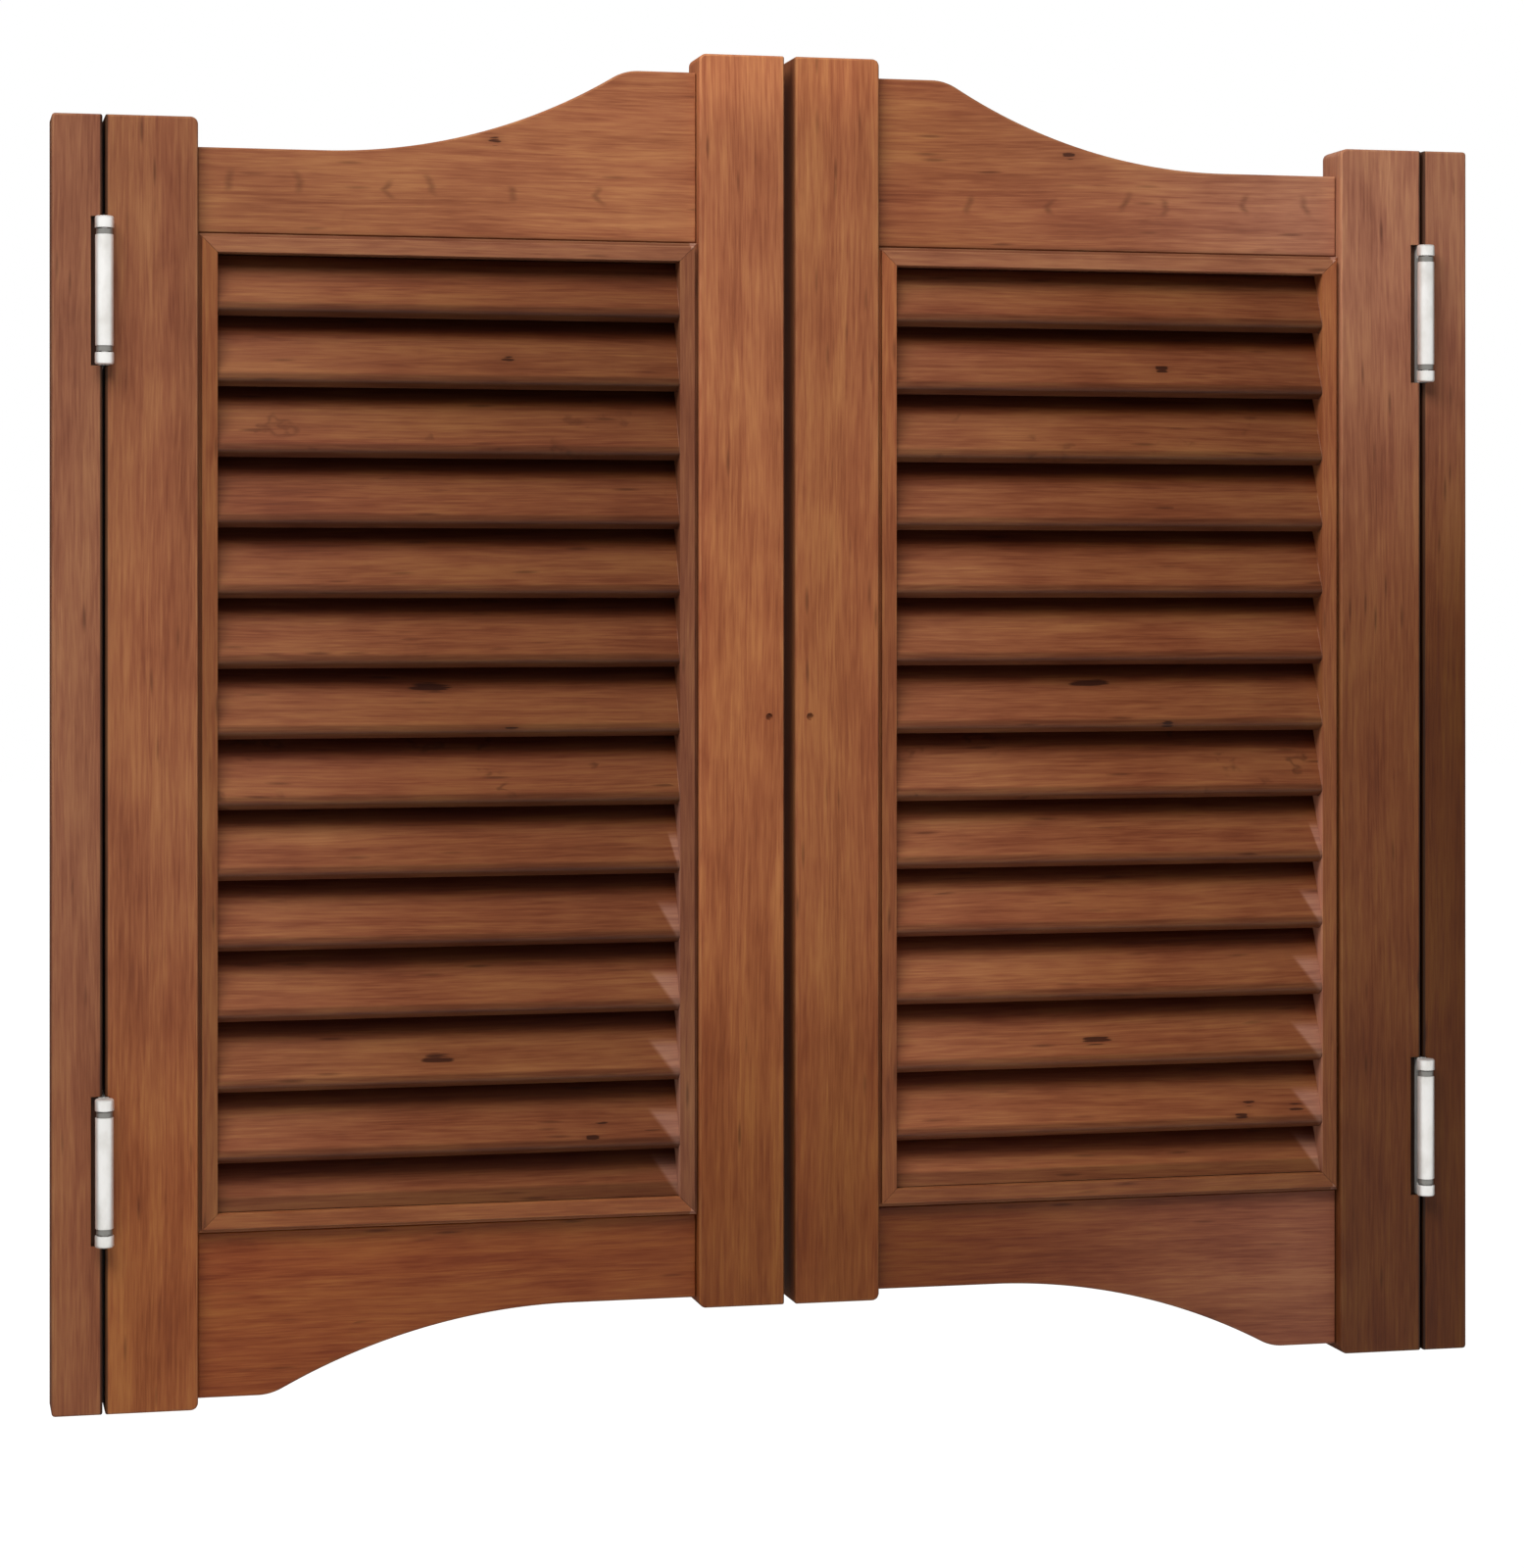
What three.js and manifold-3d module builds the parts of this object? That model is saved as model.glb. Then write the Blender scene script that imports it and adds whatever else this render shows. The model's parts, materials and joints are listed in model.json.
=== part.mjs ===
import * as THREE from 'three';
import { mergeVertices } from 'three/addons/utils/BufferGeometryUtils.js';
import Module from 'manifold-3d';

// A pair of louvred cafe doors hung between two jamb strips on double-action spring hinges.
// Millimetres, +Z up, the front faces -Y. The origin lies midway between the jambs, at
// mid-thickness, level with the feet of the jambs.

// Overall sizes of the pair
const PAIR_WIDTH = 1000;
const STILE_LENGTH = 860;
const MEETING_RISE = 53;
const CENTRE_GAP = 7.5;
const HINGE_GAP = 1.7;

// Upright timbers
const JAMB_WIDTH = 33.15;
const HINGE_STILE_WIDTH = 61;
const MEETING_STILE_WIDTH = 60;
const STILE_THICKNESS = 36;
const SHOULDER_RADIUS = 5;
const EASED_RADIUS = 2.5;
const CRISP_RADIUS = 1.5;
const ARRIS = 1;

// Rails: a straight edge towards the louvres, a swept edge away from them
const RAIL_SETBACK = 9;
const RAIL_HEIGHT = 57.5;
const TOP_DROP_AT_HINGE = 19;
const TOP_DROP_AT_MEETING = 12;
const BOTTOM_LIFT = 6;
const SWEEP_SHELF = 40;
const SWEEP_FOOT = 84;
const SWEEP_FILLET = 35;
const TENON_LENGTH = 14;
const TENON_THICKNESS = 8;
const TENON_SHOULDER = 10;

// Louvre frame: four mitred members, each with a tongue that leaves a shadow groove outside
const LOUVER_SETBACK = 2;
const MEMBER_WIDTH = 12.7;
const TONGUE_WIDTH = 2.4;
const TONGUE_THICKNESS = 24;

// Slats
const SLAT_WIDTH = 50;
const SLAT_THICKNESS = 12;
const SLAT_EDGE_RADIUS = 3;
const SLAT_INSET = 1;
const SLAT_PITCH = 47.25;
const FIRST_SLAT_DROP = 41.7;
const MOST_TRIMMED_OFF = 20;
const HOUSING_DEPTH = 5;

// Double-action spring hinges
const HINGE_LENGTH = 98;
const UPPER_HINGE_DROP = 117;
const LOWER_HINGE_LIFT = 161;
const BARREL_DIAMETER = 12.5;
const COLLAR_LENGTH = 8;
const COLLAR_CHAMFER = 1.2;
const PIN_DIAMETER = 5;
const TUBE_WALL = 1.1;
const BUSH_LENGTH = 4;
const SPRING_WIRE = 1.5;
const SPRING_TURNS = 5;
const SPRING_HOOK_TURNS = 0.5;
const LEAF_THICKNESS = 2;
const LEAF_RECESS = 0.45;
const WEB_THICKNESS = 2;
const RELIEF_WIDTH = 4.7;
const RELIEF_DEPTH = 5;

// Clearances
const FIT = 0.3;
const RUNNING_GAP = 0.7;
const BARREL_STANDOFF = 0.5;

// How finely round stretches are divided
const CORNER_STEPS = 4;
const SLAT_EDGE_STEPS = 2;
const SWEEP_STEPS = 14;
const BARREL_SIDES = 16;
const SPRING_STEPS_PER_TURN = 8;

// Sizes that follow from the ones above
const LEAF_WIDTH = (PAIR_WIDTH - CENTRE_GAP) / 2 - JAMB_WIDTH - HINGE_GAP;
const PANEL_WIDTH = LEAF_WIDTH - HINGE_STILE_WIDTH - MEETING_STILE_WIDTH;
const JAMB_OUTER = -PAIR_WIDTH / 2;
const JAMB_INNER = JAMB_OUTER + JAMB_WIDTH;
const HINGE_CENTRE = JAMB_INNER + HINGE_GAP / 2;
const HINGE_STILE_OUTER = JAMB_INNER + HINGE_GAP;
const PANEL_LEFT = HINGE_STILE_OUTER + HINGE_STILE_WIDTH;
const PANEL_RIGHT = PANEL_LEFT + PANEL_WIDTH;
const RAIL_THICKNESS = STILE_THICKNESS - 2 * RAIL_SETBACK;
const TOP_RAIL_EDGE = STILE_LENGTH - TOP_DROP_AT_HINGE - RAIL_HEIGHT;
const TOP_RAIL_RISE = MEETING_RISE + TOP_DROP_AT_HINGE - TOP_DROP_AT_MEETING;
const BOTTOM_RAIL_EDGE = MEETING_RISE + BOTTOM_LIFT + RAIL_HEIGHT;
const BOTTOM_RAIL_RISE = MEETING_RISE;
const LOUVER_DEPTH = STILE_THICKNESS - 2 * LOUVER_SETBACK;
const HEAD_LINE = TOP_RAIL_EDGE - FIT - MEMBER_WIDTH;
const SILL_LINE = BOTTOM_RAIL_EDGE + FIT + MEMBER_WIDTH;
const LEAF_FACE = HINGE_GAP / 2 + LEAF_RECESS;
const BARREL_RADIUS = BARREL_DIAMETER / 2;
const BARREL_OFFSET = STILE_THICKNESS / 2 + BARREL_STANDOFF + BARREL_RADIUS;
const TUBE_LENGTH = HINGE_LENGTH - 2 * (COLLAR_LENGTH + RUNNING_GAP);
const TUBE_BORE_RADIUS = BARREL_RADIUS - TUBE_WALL;
const SPRING_ROOM = TUBE_LENGTH - 2 * BUSH_LENGTH;
const SPRING_RADIUS = TUBE_BORE_RADIUS - FIT - SPRING_WIRE / 2;
const SPRING_LENGTH = SPRING_ROOM - 2 * FIT - SPRING_WIRE;
const HINGE_HEIGHTS = {
  upper: STILE_LENGTH - UPPER_HINGE_DROP,
  lower: LOWER_HINGE_LIFT,
};

// The slats lean so that they just fill the depth of their frame. A slat's core is the rectangle
// between the centres of its rounded edges.
const CORE_WIDTH = SLAT_WIDTH - 2 * SLAT_EDGE_RADIUS;
const CORE_THICKNESS = SLAT_THICKNESS - 2 * SLAT_EDGE_RADIUS;
const CORE_DEPTH = LOUVER_DEPTH - 2 * SLAT_INSET - 2 * SLAT_EDGE_RADIUS;
const CORE_SLANT = Math.atan2(CORE_THICKNESS, CORE_WIDTH);
const SLAT_LEAN = Math.asin(CORE_DEPTH / Math.hypot(CORE_WIDTH, CORE_THICKNESS)) - CORE_SLANT;
const CORE_RISE = CORE_WIDTH * Math.cos(SLAT_LEAN) + CORE_THICKNESS * Math.sin(SLAT_LEAN);
const SLAT_RISE = CORE_RISE + 2 * SLAT_EDGE_RADIUS;
const FIRST_SLAT_EDGE = HEAD_LINE - FIRST_SLAT_DROP;
const SLAT_COUNT = 1 + Math.floor((FIRST_SLAT_EDGE - SILL_LINE + MOST_TRIMMED_OFF) / SLAT_PITCH);

const wasm = await Module();
wasm.setup();

// A closed mesh as a solid that can be joined and cut
function solidOf(geometry) {
  const bare = geometry.clone();
  bare.deleteAttribute('normal');
  bare.deleteAttribute('uv');
  const merged = mergeVertices(bare);
  return new wasm.Manifold(new wasm.Mesh({
    numProp: 3,
    vertProperties: new Float32Array(merged.attributes.position.array),
    triVerts: new Uint32Array(merged.index.array),
  }));
}

function geometryOf(solid) {
  const mesh = solid.getMesh();
  const geometry = new THREE.BufferGeometry();
  geometry.setAttribute('position', new THREE.BufferAttribute(mesh.vertProperties, 3));
  geometry.setIndex(new THREE.BufferAttribute(mesh.triVerts, 1));
  geometry.computeVertexNormals();
  return geometry;
}

function block([x0, x1], [y0, y1], [z0, z1]) {
  const geometry = new THREE.BoxGeometry(x1 - x0, y1 - y0, z1 - z0);
  return geometry.translate((x0 + x1) / 2, (y0 + y1) / 2, (z0 + z1) / 2);
}

// An outline drawn in X and Z, cut from a board whose mid-plane is Y = 0, with chamfered arrises
function board(outline, thickness, curveSegments) {
  const geometry = new THREE.ExtrudeGeometry(outline, {
    depth: thickness - 2 * ARRIS,
    curveSegments,
    bevelThickness: ARRIS,
    bevelSize: ARRIS,
    bevelOffset: -ARRIS,
    bevelSegments: 1,
  });
  geometry.translate(0, 0, ARRIS - thickness / 2);
  return geometry.rotateX(Math.PI / 2);
}

// A rectangle with its own radius at each corner
function roundedRectangle([left, right], [foot, head], radii) {
  const outline = new THREE.Shape();
  const quarter = Math.PI / 2;
  outline.absarc(right - radii.footRight, foot + radii.footRight, radii.footRight, -quarter, 0);
  outline.absarc(right - radii.headRight, head - radii.headRight, radii.headRight, 0, quarter);
  outline.absarc(left + radii.headLeft, head - radii.headLeft, radii.headLeft, quarter, 2 * quarter);
  outline.absarc(left + radii.footLeft, foot + radii.footLeft, radii.footLeft, 2 * quarter, 3 * quarter);
  outline.closePath();
  return outline;
}

function woodMaterial(color) {
  return new THREE.MeshStandardMaterial({ color, roughness: 0.55, metalness: 0 });
}

function nickelMaterial() {
  return new THREE.MeshStandardMaterial({ color: 0xd2cfca, roughness: 0.25, metalness: 1 });
}

function piece(name, geometry, material) {
  const mesh = new THREE.Mesh(geometry, material);
  mesh.name = name;
  return mesh;
}

// A round bar along one barrel of a hinge
function barrelBar(radius, length, side) {
  const bar = new THREE.CylinderGeometry(radius, radius, length, BARREL_SIDES);
  return solidOf(bar.rotateX(Math.PI / 2).translate(0, side * BARREL_OFFSET, 0));
}

// Double-action hinge, about its own middle in the gap between jamb and stile. One leaf is let
// into the jamb and carries the front tube, the other into the stile and carries the back one.
// Both lie a little below the wood, so that the web between them has room in the narrow gap.
// A tube has room for its spring, and a bush at each end that runs on the pin.
function jambLeafSolid() {
  const plateX = [-LEAF_FACE - LEAF_THICKNESS, -LEAF_FACE];
  const face = -STILE_THICKNESS / 2;
  const plate = block(plateX, [face, -face], [-HINGE_LENGTH / 2, HINGE_LENGTH / 2]);
  const neck = block(plateX, [-BARREL_OFFSET, face + LEAF_THICKNESS], [-TUBE_LENGTH / 2, TUBE_LENGTH / 2]);
  const tube = barrelBar(BARREL_RADIUS, TUBE_LENGTH, -1);
  const springRoom = barrelBar(TUBE_BORE_RADIUS, SPRING_ROOM, -1);
  const bushBore = barrelBar(PIN_DIAMETER / 2 + FIT, HINGE_LENGTH, -1);
  const solid = solidOf(plate).add(solidOf(neck)).add(tube);
  return solid.subtract(springRoom).subtract(bushBore);
}

// Pin of one barrel with the collar at each of its ends
function spindle(side) {
  const end = HINGE_LENGTH / 2;
  const step = end - COLLAR_LENGTH;
  const rim = BARREL_RADIUS - COLLAR_CHAMFER;
  const profile = [
    [0, -end],
    [rim, -end],
    [BARREL_RADIUS, COLLAR_CHAMFER - end],
    [BARREL_RADIUS, -step],
    [PIN_DIAMETER / 2, -step],
    [PIN_DIAMETER / 2, step],
    [BARREL_RADIUS, step],
    [BARREL_RADIUS, end - COLLAR_CHAMFER],
    [rim, end],
    [0, end],
  ];
  const points = profile.map(([radius, height]) => new THREE.Vector2(radius, height));
  const geometry = new THREE.LatheGeometry(points, BARREL_SIDES);
  return geometry.rotateX(Math.PI / 2).translate(0, side * BARREL_OFFSET, 0);
}

// Torsion spring in one barrel: it winds out of the pin that holds its upper end
class SpringPath extends THREE.Curve {
  constructor(side) {
    super();
    this.side = side;
  }

  getPoint(share, point = new THREE.Vector3()) {
    const turns = share * SPRING_TURNS;
    const angle = 2 * Math.PI * turns;
    const radius = SPRING_RADIUS * Math.min(1, turns / SPRING_HOOK_TURNS);
    const y = this.side * BARREL_OFFSET + radius * Math.sin(angle);
    return point.set(radius * Math.cos(angle), y, SPRING_LENGTH * (0.5 - share));
  }
}

function spring(side) {
  const half = SPRING_WIRE / 2;
  const wire = new THREE.Shape([
    new THREE.Vector2(half, 0),
    new THREE.Vector2(0, half),
    new THREE.Vector2(-half, 0),
    new THREE.Vector2(0, -half),
  ]);
  return new THREE.ExtrudeGeometry(wire, {
    steps: SPRING_TURNS * SPRING_STEPS_PER_TURN,
    extrudePath: new SpringPath(side),
  });
}

// Plate between the two barrels, clear of both tubes and joined to the four collars, with the
// two pins and the springs that hook into them
function webSolid() {
  const plateX = [-WEB_THICKNESS / 2, WEB_THICKNESS / 2];
  const end = HINGE_LENGTH / 2;
  const step = end - COLLAR_LENGTH;
  const reach = BARREL_OFFSET - BARREL_RADIUS - RUNNING_GAP;
  const plate = block(plateX, [-reach, reach], [-end, end]);
  const upperArms = block(plateX, [-BARREL_OFFSET, BARREL_OFFSET], [step, end - COLLAR_CHAMFER]);
  const lowerArms = block(plateX, [-BARREL_OFFSET, BARREL_OFFSET], [COLLAR_CHAMFER - end, -step]);
  const bars = [plate, upperArms, lowerArms, spindle(-1), spindle(1), spring(-1), spring(1)];
  return bars.map(solidOf).reduce((whole, bar) => whole.add(bar));
}

// What is cut from a jamb for one of its hinge leaves, with the relief beside the barrel
function leafMortise(height) {
  const z = [height - HINGE_LENGTH / 2 - FIT, height + HINGE_LENGTH / 2 + FIT];
  const face = -STILE_THICKNESS / 2;
  const floor = JAMB_INNER - LEAF_RECESS - LEAF_THICKNESS - FIT;
  const mouth = JAMB_INNER + HINGE_GAP / 2;
  const pocket = block([floor, mouth], [face - ARRIS, ARRIS - face], z);
  const relief = block([floor - RELIEF_WIDTH, mouth], [face - ARRIS, face + RELIEF_DEPTH], z);
  return solidOf(pocket).add(solidOf(relief));
}

// The same cut in the hinge stile is the jamb's, turned half round the hinge
function turnedHalfRound(solid) {
  return solid.translate([-HINGE_CENTRE, 0, 0]).rotate([0, 0, 180]).translate([HINGE_CENTRE, 0, 0]);
}

function leafMortises() {
  return Object.values(HINGE_HEIGHTS).map(leafMortise);
}

function hingePieces(side) {
  const jambLeaf = geometryOf(jambLeafSolid());
  const doorLeaf = geometryOf(jambLeafSolid().rotate([0, 0, 180]));
  const web = geometryOf(webSolid());
  return Object.entries(HINGE_HEIGHTS).map(([level, height]) => {
    const hinge = new THREE.Group();
    hinge.position.set(HINGE_CENTRE, 0, height);
    hinge.add(piece(`${side}_${level}_jamb_leaf`, jambLeaf, nickelMaterial()));
    hinge.add(piece(`${side}_${level}_web`, web, nickelMaterial()));
    hinge.add(piece(`${side}_${level}_door_leaf`, doorLeaf, nickelMaterial()));
    return hinge;
  });
}

function jamb(side) {
  const outline = roundedRectangle([JAMB_OUTER, JAMB_INNER], [0, STILE_LENGTH], {
    footRight: CRISP_RADIUS,
    headRight: CRISP_RADIUS,
    headLeft: EASED_RADIUS,
    footLeft: EASED_RADIUS,
  });
  const blank = solidOf(board(outline, STILE_THICKNESS, CORNER_STEPS));
  const cut = leafMortises().reduce((rest, mortise) => rest.subtract(mortise), blank);
  return piece(`${side}_jamb`, geometryOf(cut), woodMaterial(0x8f5a38));
}

// Swept rail in its own axes: straight edge on Z = 0, its low end at X = 0
function railOutline(length, rise) {
  const high = RAIL_HEIGHT + rise;
  const run = length - SWEEP_SHELF - SWEEP_FOOT;
  const sweepRadius = (run * run + rise * rise) / (2 * rise) - SWEEP_FILLET;
  const tangent = Math.atan2(sweepRadius + SWEEP_FILLET - rise, -run);
  const outline = new THREE.Shape();
  outline.moveTo(0, 0);
  outline.lineTo(length, 0);
  outline.lineTo(length, high);
  outline.absarc(length - SWEEP_SHELF, high - SWEEP_FILLET, SWEEP_FILLET, Math.PI / 2, tangent);
  outline.absarc(SWEEP_FOOT, RAIL_HEIGHT + sweepRadius, sweepRadius, tangent - Math.PI, -Math.PI / 2, true);
  outline.lineTo(0, RAIL_HEIGHT);
  outline.closePath();
  return outline;
}

// Heights of the tenon at each end of a rail, from its straight edge
function tenonHeights(rise) {
  return {
    low: [TENON_SHOULDER, RAIL_HEIGHT - TENON_SHOULDER],
    high: [TENON_SHOULDER, RAIL_HEIGHT + rise - TENON_SHOULDER],
  };
}

function railSolid(rise) {
  const length = PANEL_WIDTH - 2 * FIT;
  const tenonY = [-TENON_THICKNESS / 2, TENON_THICKNESS / 2];
  const heights = tenonHeights(rise);
  const lowTenon = block([-TENON_LENGTH, SWEEP_SHELF / 2], tenonY, heights.low);
  const highTenon = block([length - SWEEP_SHELF / 2, length + TENON_LENGTH], tenonY, heights.high);
  const body = board(railOutline(length, rise), RAIL_THICKNESS, SWEEP_STEPS);
  return solidOf(body).add(solidOf(lowTenon)).add(solidOf(highTenon));
}

function topRail(side) {
  const rail = piece(`${side}_top_rail`, geometryOf(railSolid(TOP_RAIL_RISE)), woodMaterial(0x9d6239));
  rail.position.set(PANEL_LEFT + FIT, 0, TOP_RAIL_EDGE);
  return rail;
}

// The bottom rail is turned half over in its own plane, so its low end meets the meeting stile
function bottomRail(side) {
  const geometry = geometryOf(railSolid(BOTTOM_RAIL_RISE).rotate([0, 180, 0]));
  const rail = piece(`${side}_bottom_rail`, geometry, woodMaterial(0x85512f));
  rail.position.set(PANEL_RIGHT - FIT, 0, BOTTOM_RAIL_EDGE);
  return rail;
}

// Mortise for one tenon, running from a stile's inner edge into it
function tenonMortise(edge, towards, [z0, z1]) {
  const floor = edge + towards * (TENON_LENGTH + FIT);
  const mouth = edge - towards * FIT;
  const halfThickness = TENON_THICKNESS / 2 + FIT;
  const x = [Math.min(floor, mouth), Math.max(floor, mouth)];
  return solidOf(block(x, [-halfThickness, halfThickness], [z0 - FIT, z1 + FIT]));
}

function hingeStile(side) {
  const outline = roundedRectangle([HINGE_STILE_OUTER, PANEL_LEFT], [0, STILE_LENGTH], {
    footRight: SHOULDER_RADIUS,
    headRight: SHOULDER_RADIUS,
    headLeft: CRISP_RADIUS,
    footLeft: CRISP_RADIUS,
  });
  const top = tenonHeights(TOP_RAIL_RISE).low.map((height) => TOP_RAIL_EDGE + height);
  const bottom = tenonHeights(BOTTOM_RAIL_RISE).high.map((height) => BOTTOM_RAIL_EDGE - height).reverse();
  const cuts = leafMortises().map(turnedHalfRound);
  cuts.push(tenonMortise(PANEL_LEFT, -1, top), tenonMortise(PANEL_LEFT, -1, bottom));
  const blank = solidOf(board(outline, STILE_THICKNESS, CORNER_STEPS));
  const cut = cuts.reduce((rest, mortise) => rest.subtract(mortise), blank);
  return piece(`${side}_hinge_stile`, geometryOf(cut), woodMaterial(0x96603a));
}

function meetingStile(side) {
  const width = [PANEL_RIGHT, PANEL_RIGHT + MEETING_STILE_WIDTH];
  const outline = roundedRectangle(width, [MEETING_RISE, MEETING_RISE + STILE_LENGTH], {
    footRight: CRISP_RADIUS,
    headRight: CRISP_RADIUS,
    headLeft: SHOULDER_RADIUS,
    footLeft: SHOULDER_RADIUS,
  });
  const top = tenonHeights(TOP_RAIL_RISE).high.map((height) => TOP_RAIL_EDGE + height);
  const bottom = tenonHeights(BOTTOM_RAIL_RISE).low.map((height) => BOTTOM_RAIL_EDGE - height).reverse();
  const cuts = [tenonMortise(PANEL_RIGHT, 1, top), tenonMortise(PANEL_RIGHT, 1, bottom)];
  const blank = solidOf(board(outline, STILE_THICKNESS, CORNER_STEPS));
  const cut = cuts.reduce((rest, mortise) => rest.subtract(mortise), blank);
  return piece(`${side}_meeting_stile`, geometryOf(cut), woodMaterial(0xa0653c));
}

// One mitred member of a louvre frame: outer edge on X = 0, its length centred along Z
function louverMember(length) {
  const half = LOUVER_DEPTH / 2;
  const tongue = TONGUE_THICKNESS / 2;
  const section = new THREE.Shape([
    new THREE.Vector2(0, -tongue),
    new THREE.Vector2(TONGUE_WIDTH, -tongue),
    new THREE.Vector2(TONGUE_WIDTH, -half),
    new THREE.Vector2(MEMBER_WIDTH, -half),
    new THREE.Vector2(MEMBER_WIDTH, half),
    new THREE.Vector2(TONGUE_WIDTH, half),
    new THREE.Vector2(TONGUE_WIDTH, tongue),
    new THREE.Vector2(0, tongue),
  ]);
  const geometry = new THREE.ExtrudeGeometry(section, { depth: length, bevelEnabled: false });
  geometry.translate(0, 0, -length / 2);
  const place = geometry.attributes.position;
  for (let i = 0; i < place.count; i += 1) {
    const mitred = length / 2 - place.getX(i) - FIT / 2;
    place.setZ(i, Math.sign(place.getZ(i)) * mitred);
  }
  return geometry;
}

// A slat about the middle of its section, leaning with its lower edge to the front. Its housing
// has the same section with a margin all round.
function slatSolid(length, margin) {
  const halfThickness = SLAT_THICKNESS / 2 + margin;
  const halfWidth = SLAT_WIDTH / 2 + margin;
  const radius = SLAT_EDGE_RADIUS + margin;
  const section = roundedRectangle([-halfThickness, halfThickness], [-halfWidth, halfWidth], {
    footRight: radius,
    headRight: radius,
    headLeft: radius,
    footLeft: radius,
  });
  const geometry = new THREE.ExtrudeGeometry(section, {
    depth: length,
    curveSegments: SLAT_EDGE_STEPS,
    bevelEnabled: false,
  });
  geometry.translate(0, 0, -length / 2).rotateX(Math.PI / 2).rotateZ(Math.PI / 2);
  return solidOf(geometry.rotateX(-SLAT_LEAN));
}

// Louvre panel of one door, centred on X = 0
function louverPanel(side) {
  const panel = new THREE.Group();
  const width = PANEL_WIDTH - 2 * FIT;
  const height = TOP_RAIL_EDGE - BOTTOM_RAIL_EDGE - 2 * FIT;
  const middle = (TOP_RAIL_EDGE + BOTTOM_RAIL_EDGE) / 2;
  const openingWidth = width - 2 * MEMBER_WIDTH;
  const wide = [-PAIR_WIDTH, PAIR_WIDTH];
  const daylight = solidOf(block(wide, wide, [SILL_LINE, HEAD_LINE]));
  const trimmed = solidOf(block(wide, wide, [SILL_LINE + FIT, HEAD_LINE - FIT]));
  const slat = slatSolid(openingWidth + 2 * (HOUSING_DEPTH - FIT), 0);
  const housing = slatSolid(openingWidth + 2 * HOUSING_DEPTH, FIT);
  const slatHeights = Array.from({ length: SLAT_COUNT }, (unused, index) => {
    return FIRST_SLAT_EDGE - index * SLAT_PITCH + SLAT_RISE / 2;
  });
  const housings = slatHeights.map((z) => housing.translate([0, 0, z]).intersect(daylight));
  const upright = solidOf(louverMember(height));
  const leftUpright = upright.translate([-width / 2, 0, middle]);
  const rightUpright = upright.rotate([0, 180, 0]).translate([width / 2, 0, middle]);
  const uprights = {
    hinge_side: side === 'left' ? leftUpright : rightUpright,
    meeting_side: side === 'left' ? rightUpright : leftUpright,
  };
  for (const [name, member] of Object.entries(uprights)) {
    const cut = housings.reduce((rest, pocket) => rest.subtract(pocket), member);
    panel.add(piece(`${side}_louver_${name}`, geometryOf(cut), woodMaterial(0x9a5c3a)));
  }
  const head = piece(`${side}_louver_head`, louverMember(width), woodMaterial(0x9a5c3a));
  head.position.z = TOP_RAIL_EDGE - FIT;
  head.rotation.y = Math.PI / 2;
  const sill = piece(`${side}_louver_sill`, louverMember(width), woodMaterial(0x8c5434));
  sill.position.z = BOTTOM_RAIL_EDGE + FIT;
  sill.rotation.y = -Math.PI / 2;
  panel.add(head, sill);
  slatHeights.forEach((z, index) => {
    const number = String(index + 1).padStart(2, '0');
    const cut = slat.translate([0, 0, z]).intersect(trimmed);
    panel.add(piece(`${side}_slat_${number}`, geometryOf(cut), woodMaterial(0x8a5232)));
  });
  return panel;
}

// Everything of one half except its louvres, as it stands on the left
function halfPair(side) {
  const half = new THREE.Group();
  half.add(jamb(side), hingeStile(side), meetingStile(side), topRail(side), bottomRail(side));
  half.add(...hingePieces(side));
  return half;
}

const doors = new THREE.Group();
const leftHalf = halfPair('left');
const rightHalf = halfPair('right');
rightHalf.rotation.z = Math.PI;
const leftPanel = louverPanel('left');
leftPanel.position.x = (PANEL_LEFT + PANEL_RIGHT) / 2;
const rightPanel = louverPanel('right');
rightPanel.position.x = -leftPanel.position.x;
doors.add(leftHalf, rightHalf, leftPanel, rightPanel);

export default doors;
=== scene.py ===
import json
import math
import random

import bmesh
import bpy
from mathutils import Matrix, Vector


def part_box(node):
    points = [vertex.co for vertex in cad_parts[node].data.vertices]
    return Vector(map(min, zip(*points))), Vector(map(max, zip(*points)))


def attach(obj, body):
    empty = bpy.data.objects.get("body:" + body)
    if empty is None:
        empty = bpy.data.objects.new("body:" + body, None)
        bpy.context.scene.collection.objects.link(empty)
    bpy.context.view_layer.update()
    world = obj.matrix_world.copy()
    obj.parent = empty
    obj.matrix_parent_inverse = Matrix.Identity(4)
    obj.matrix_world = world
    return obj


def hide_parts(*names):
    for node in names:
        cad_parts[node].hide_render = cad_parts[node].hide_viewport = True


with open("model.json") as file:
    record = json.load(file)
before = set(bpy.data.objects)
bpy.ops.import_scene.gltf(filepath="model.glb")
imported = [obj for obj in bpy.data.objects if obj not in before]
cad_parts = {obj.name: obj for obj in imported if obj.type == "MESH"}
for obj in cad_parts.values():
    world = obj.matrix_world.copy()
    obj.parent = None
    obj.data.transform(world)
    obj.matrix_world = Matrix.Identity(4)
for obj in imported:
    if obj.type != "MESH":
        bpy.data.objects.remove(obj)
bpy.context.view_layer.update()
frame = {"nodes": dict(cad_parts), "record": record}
record = frame["record"]
bodyOf = {node: body for body, nodes in record["behaviour"]["bodies"].items() for node in nodes}
slotOf = {part["node"]: part["material_slot"] for part in record["subparts"]}
mm = 0.001
farBelow = -10.0  # a height that no piece reaches
print("frame loaded,", len(frame["nodes"]), "nodes")


def middleOf(node):
    low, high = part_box(node)
    return (low + high) / 2


# camera
cameraSpec = {
    "position": (-0.5969, -2.5183, 0.5470),
    "turn": 13.0,  # degrees away from square on, towards the right-hand door
    "lens": 85.66,
    "sensorHeight": 36.0,
    "shift": -0.12536,  # brings the level horizon up to its height in the picture
}


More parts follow.
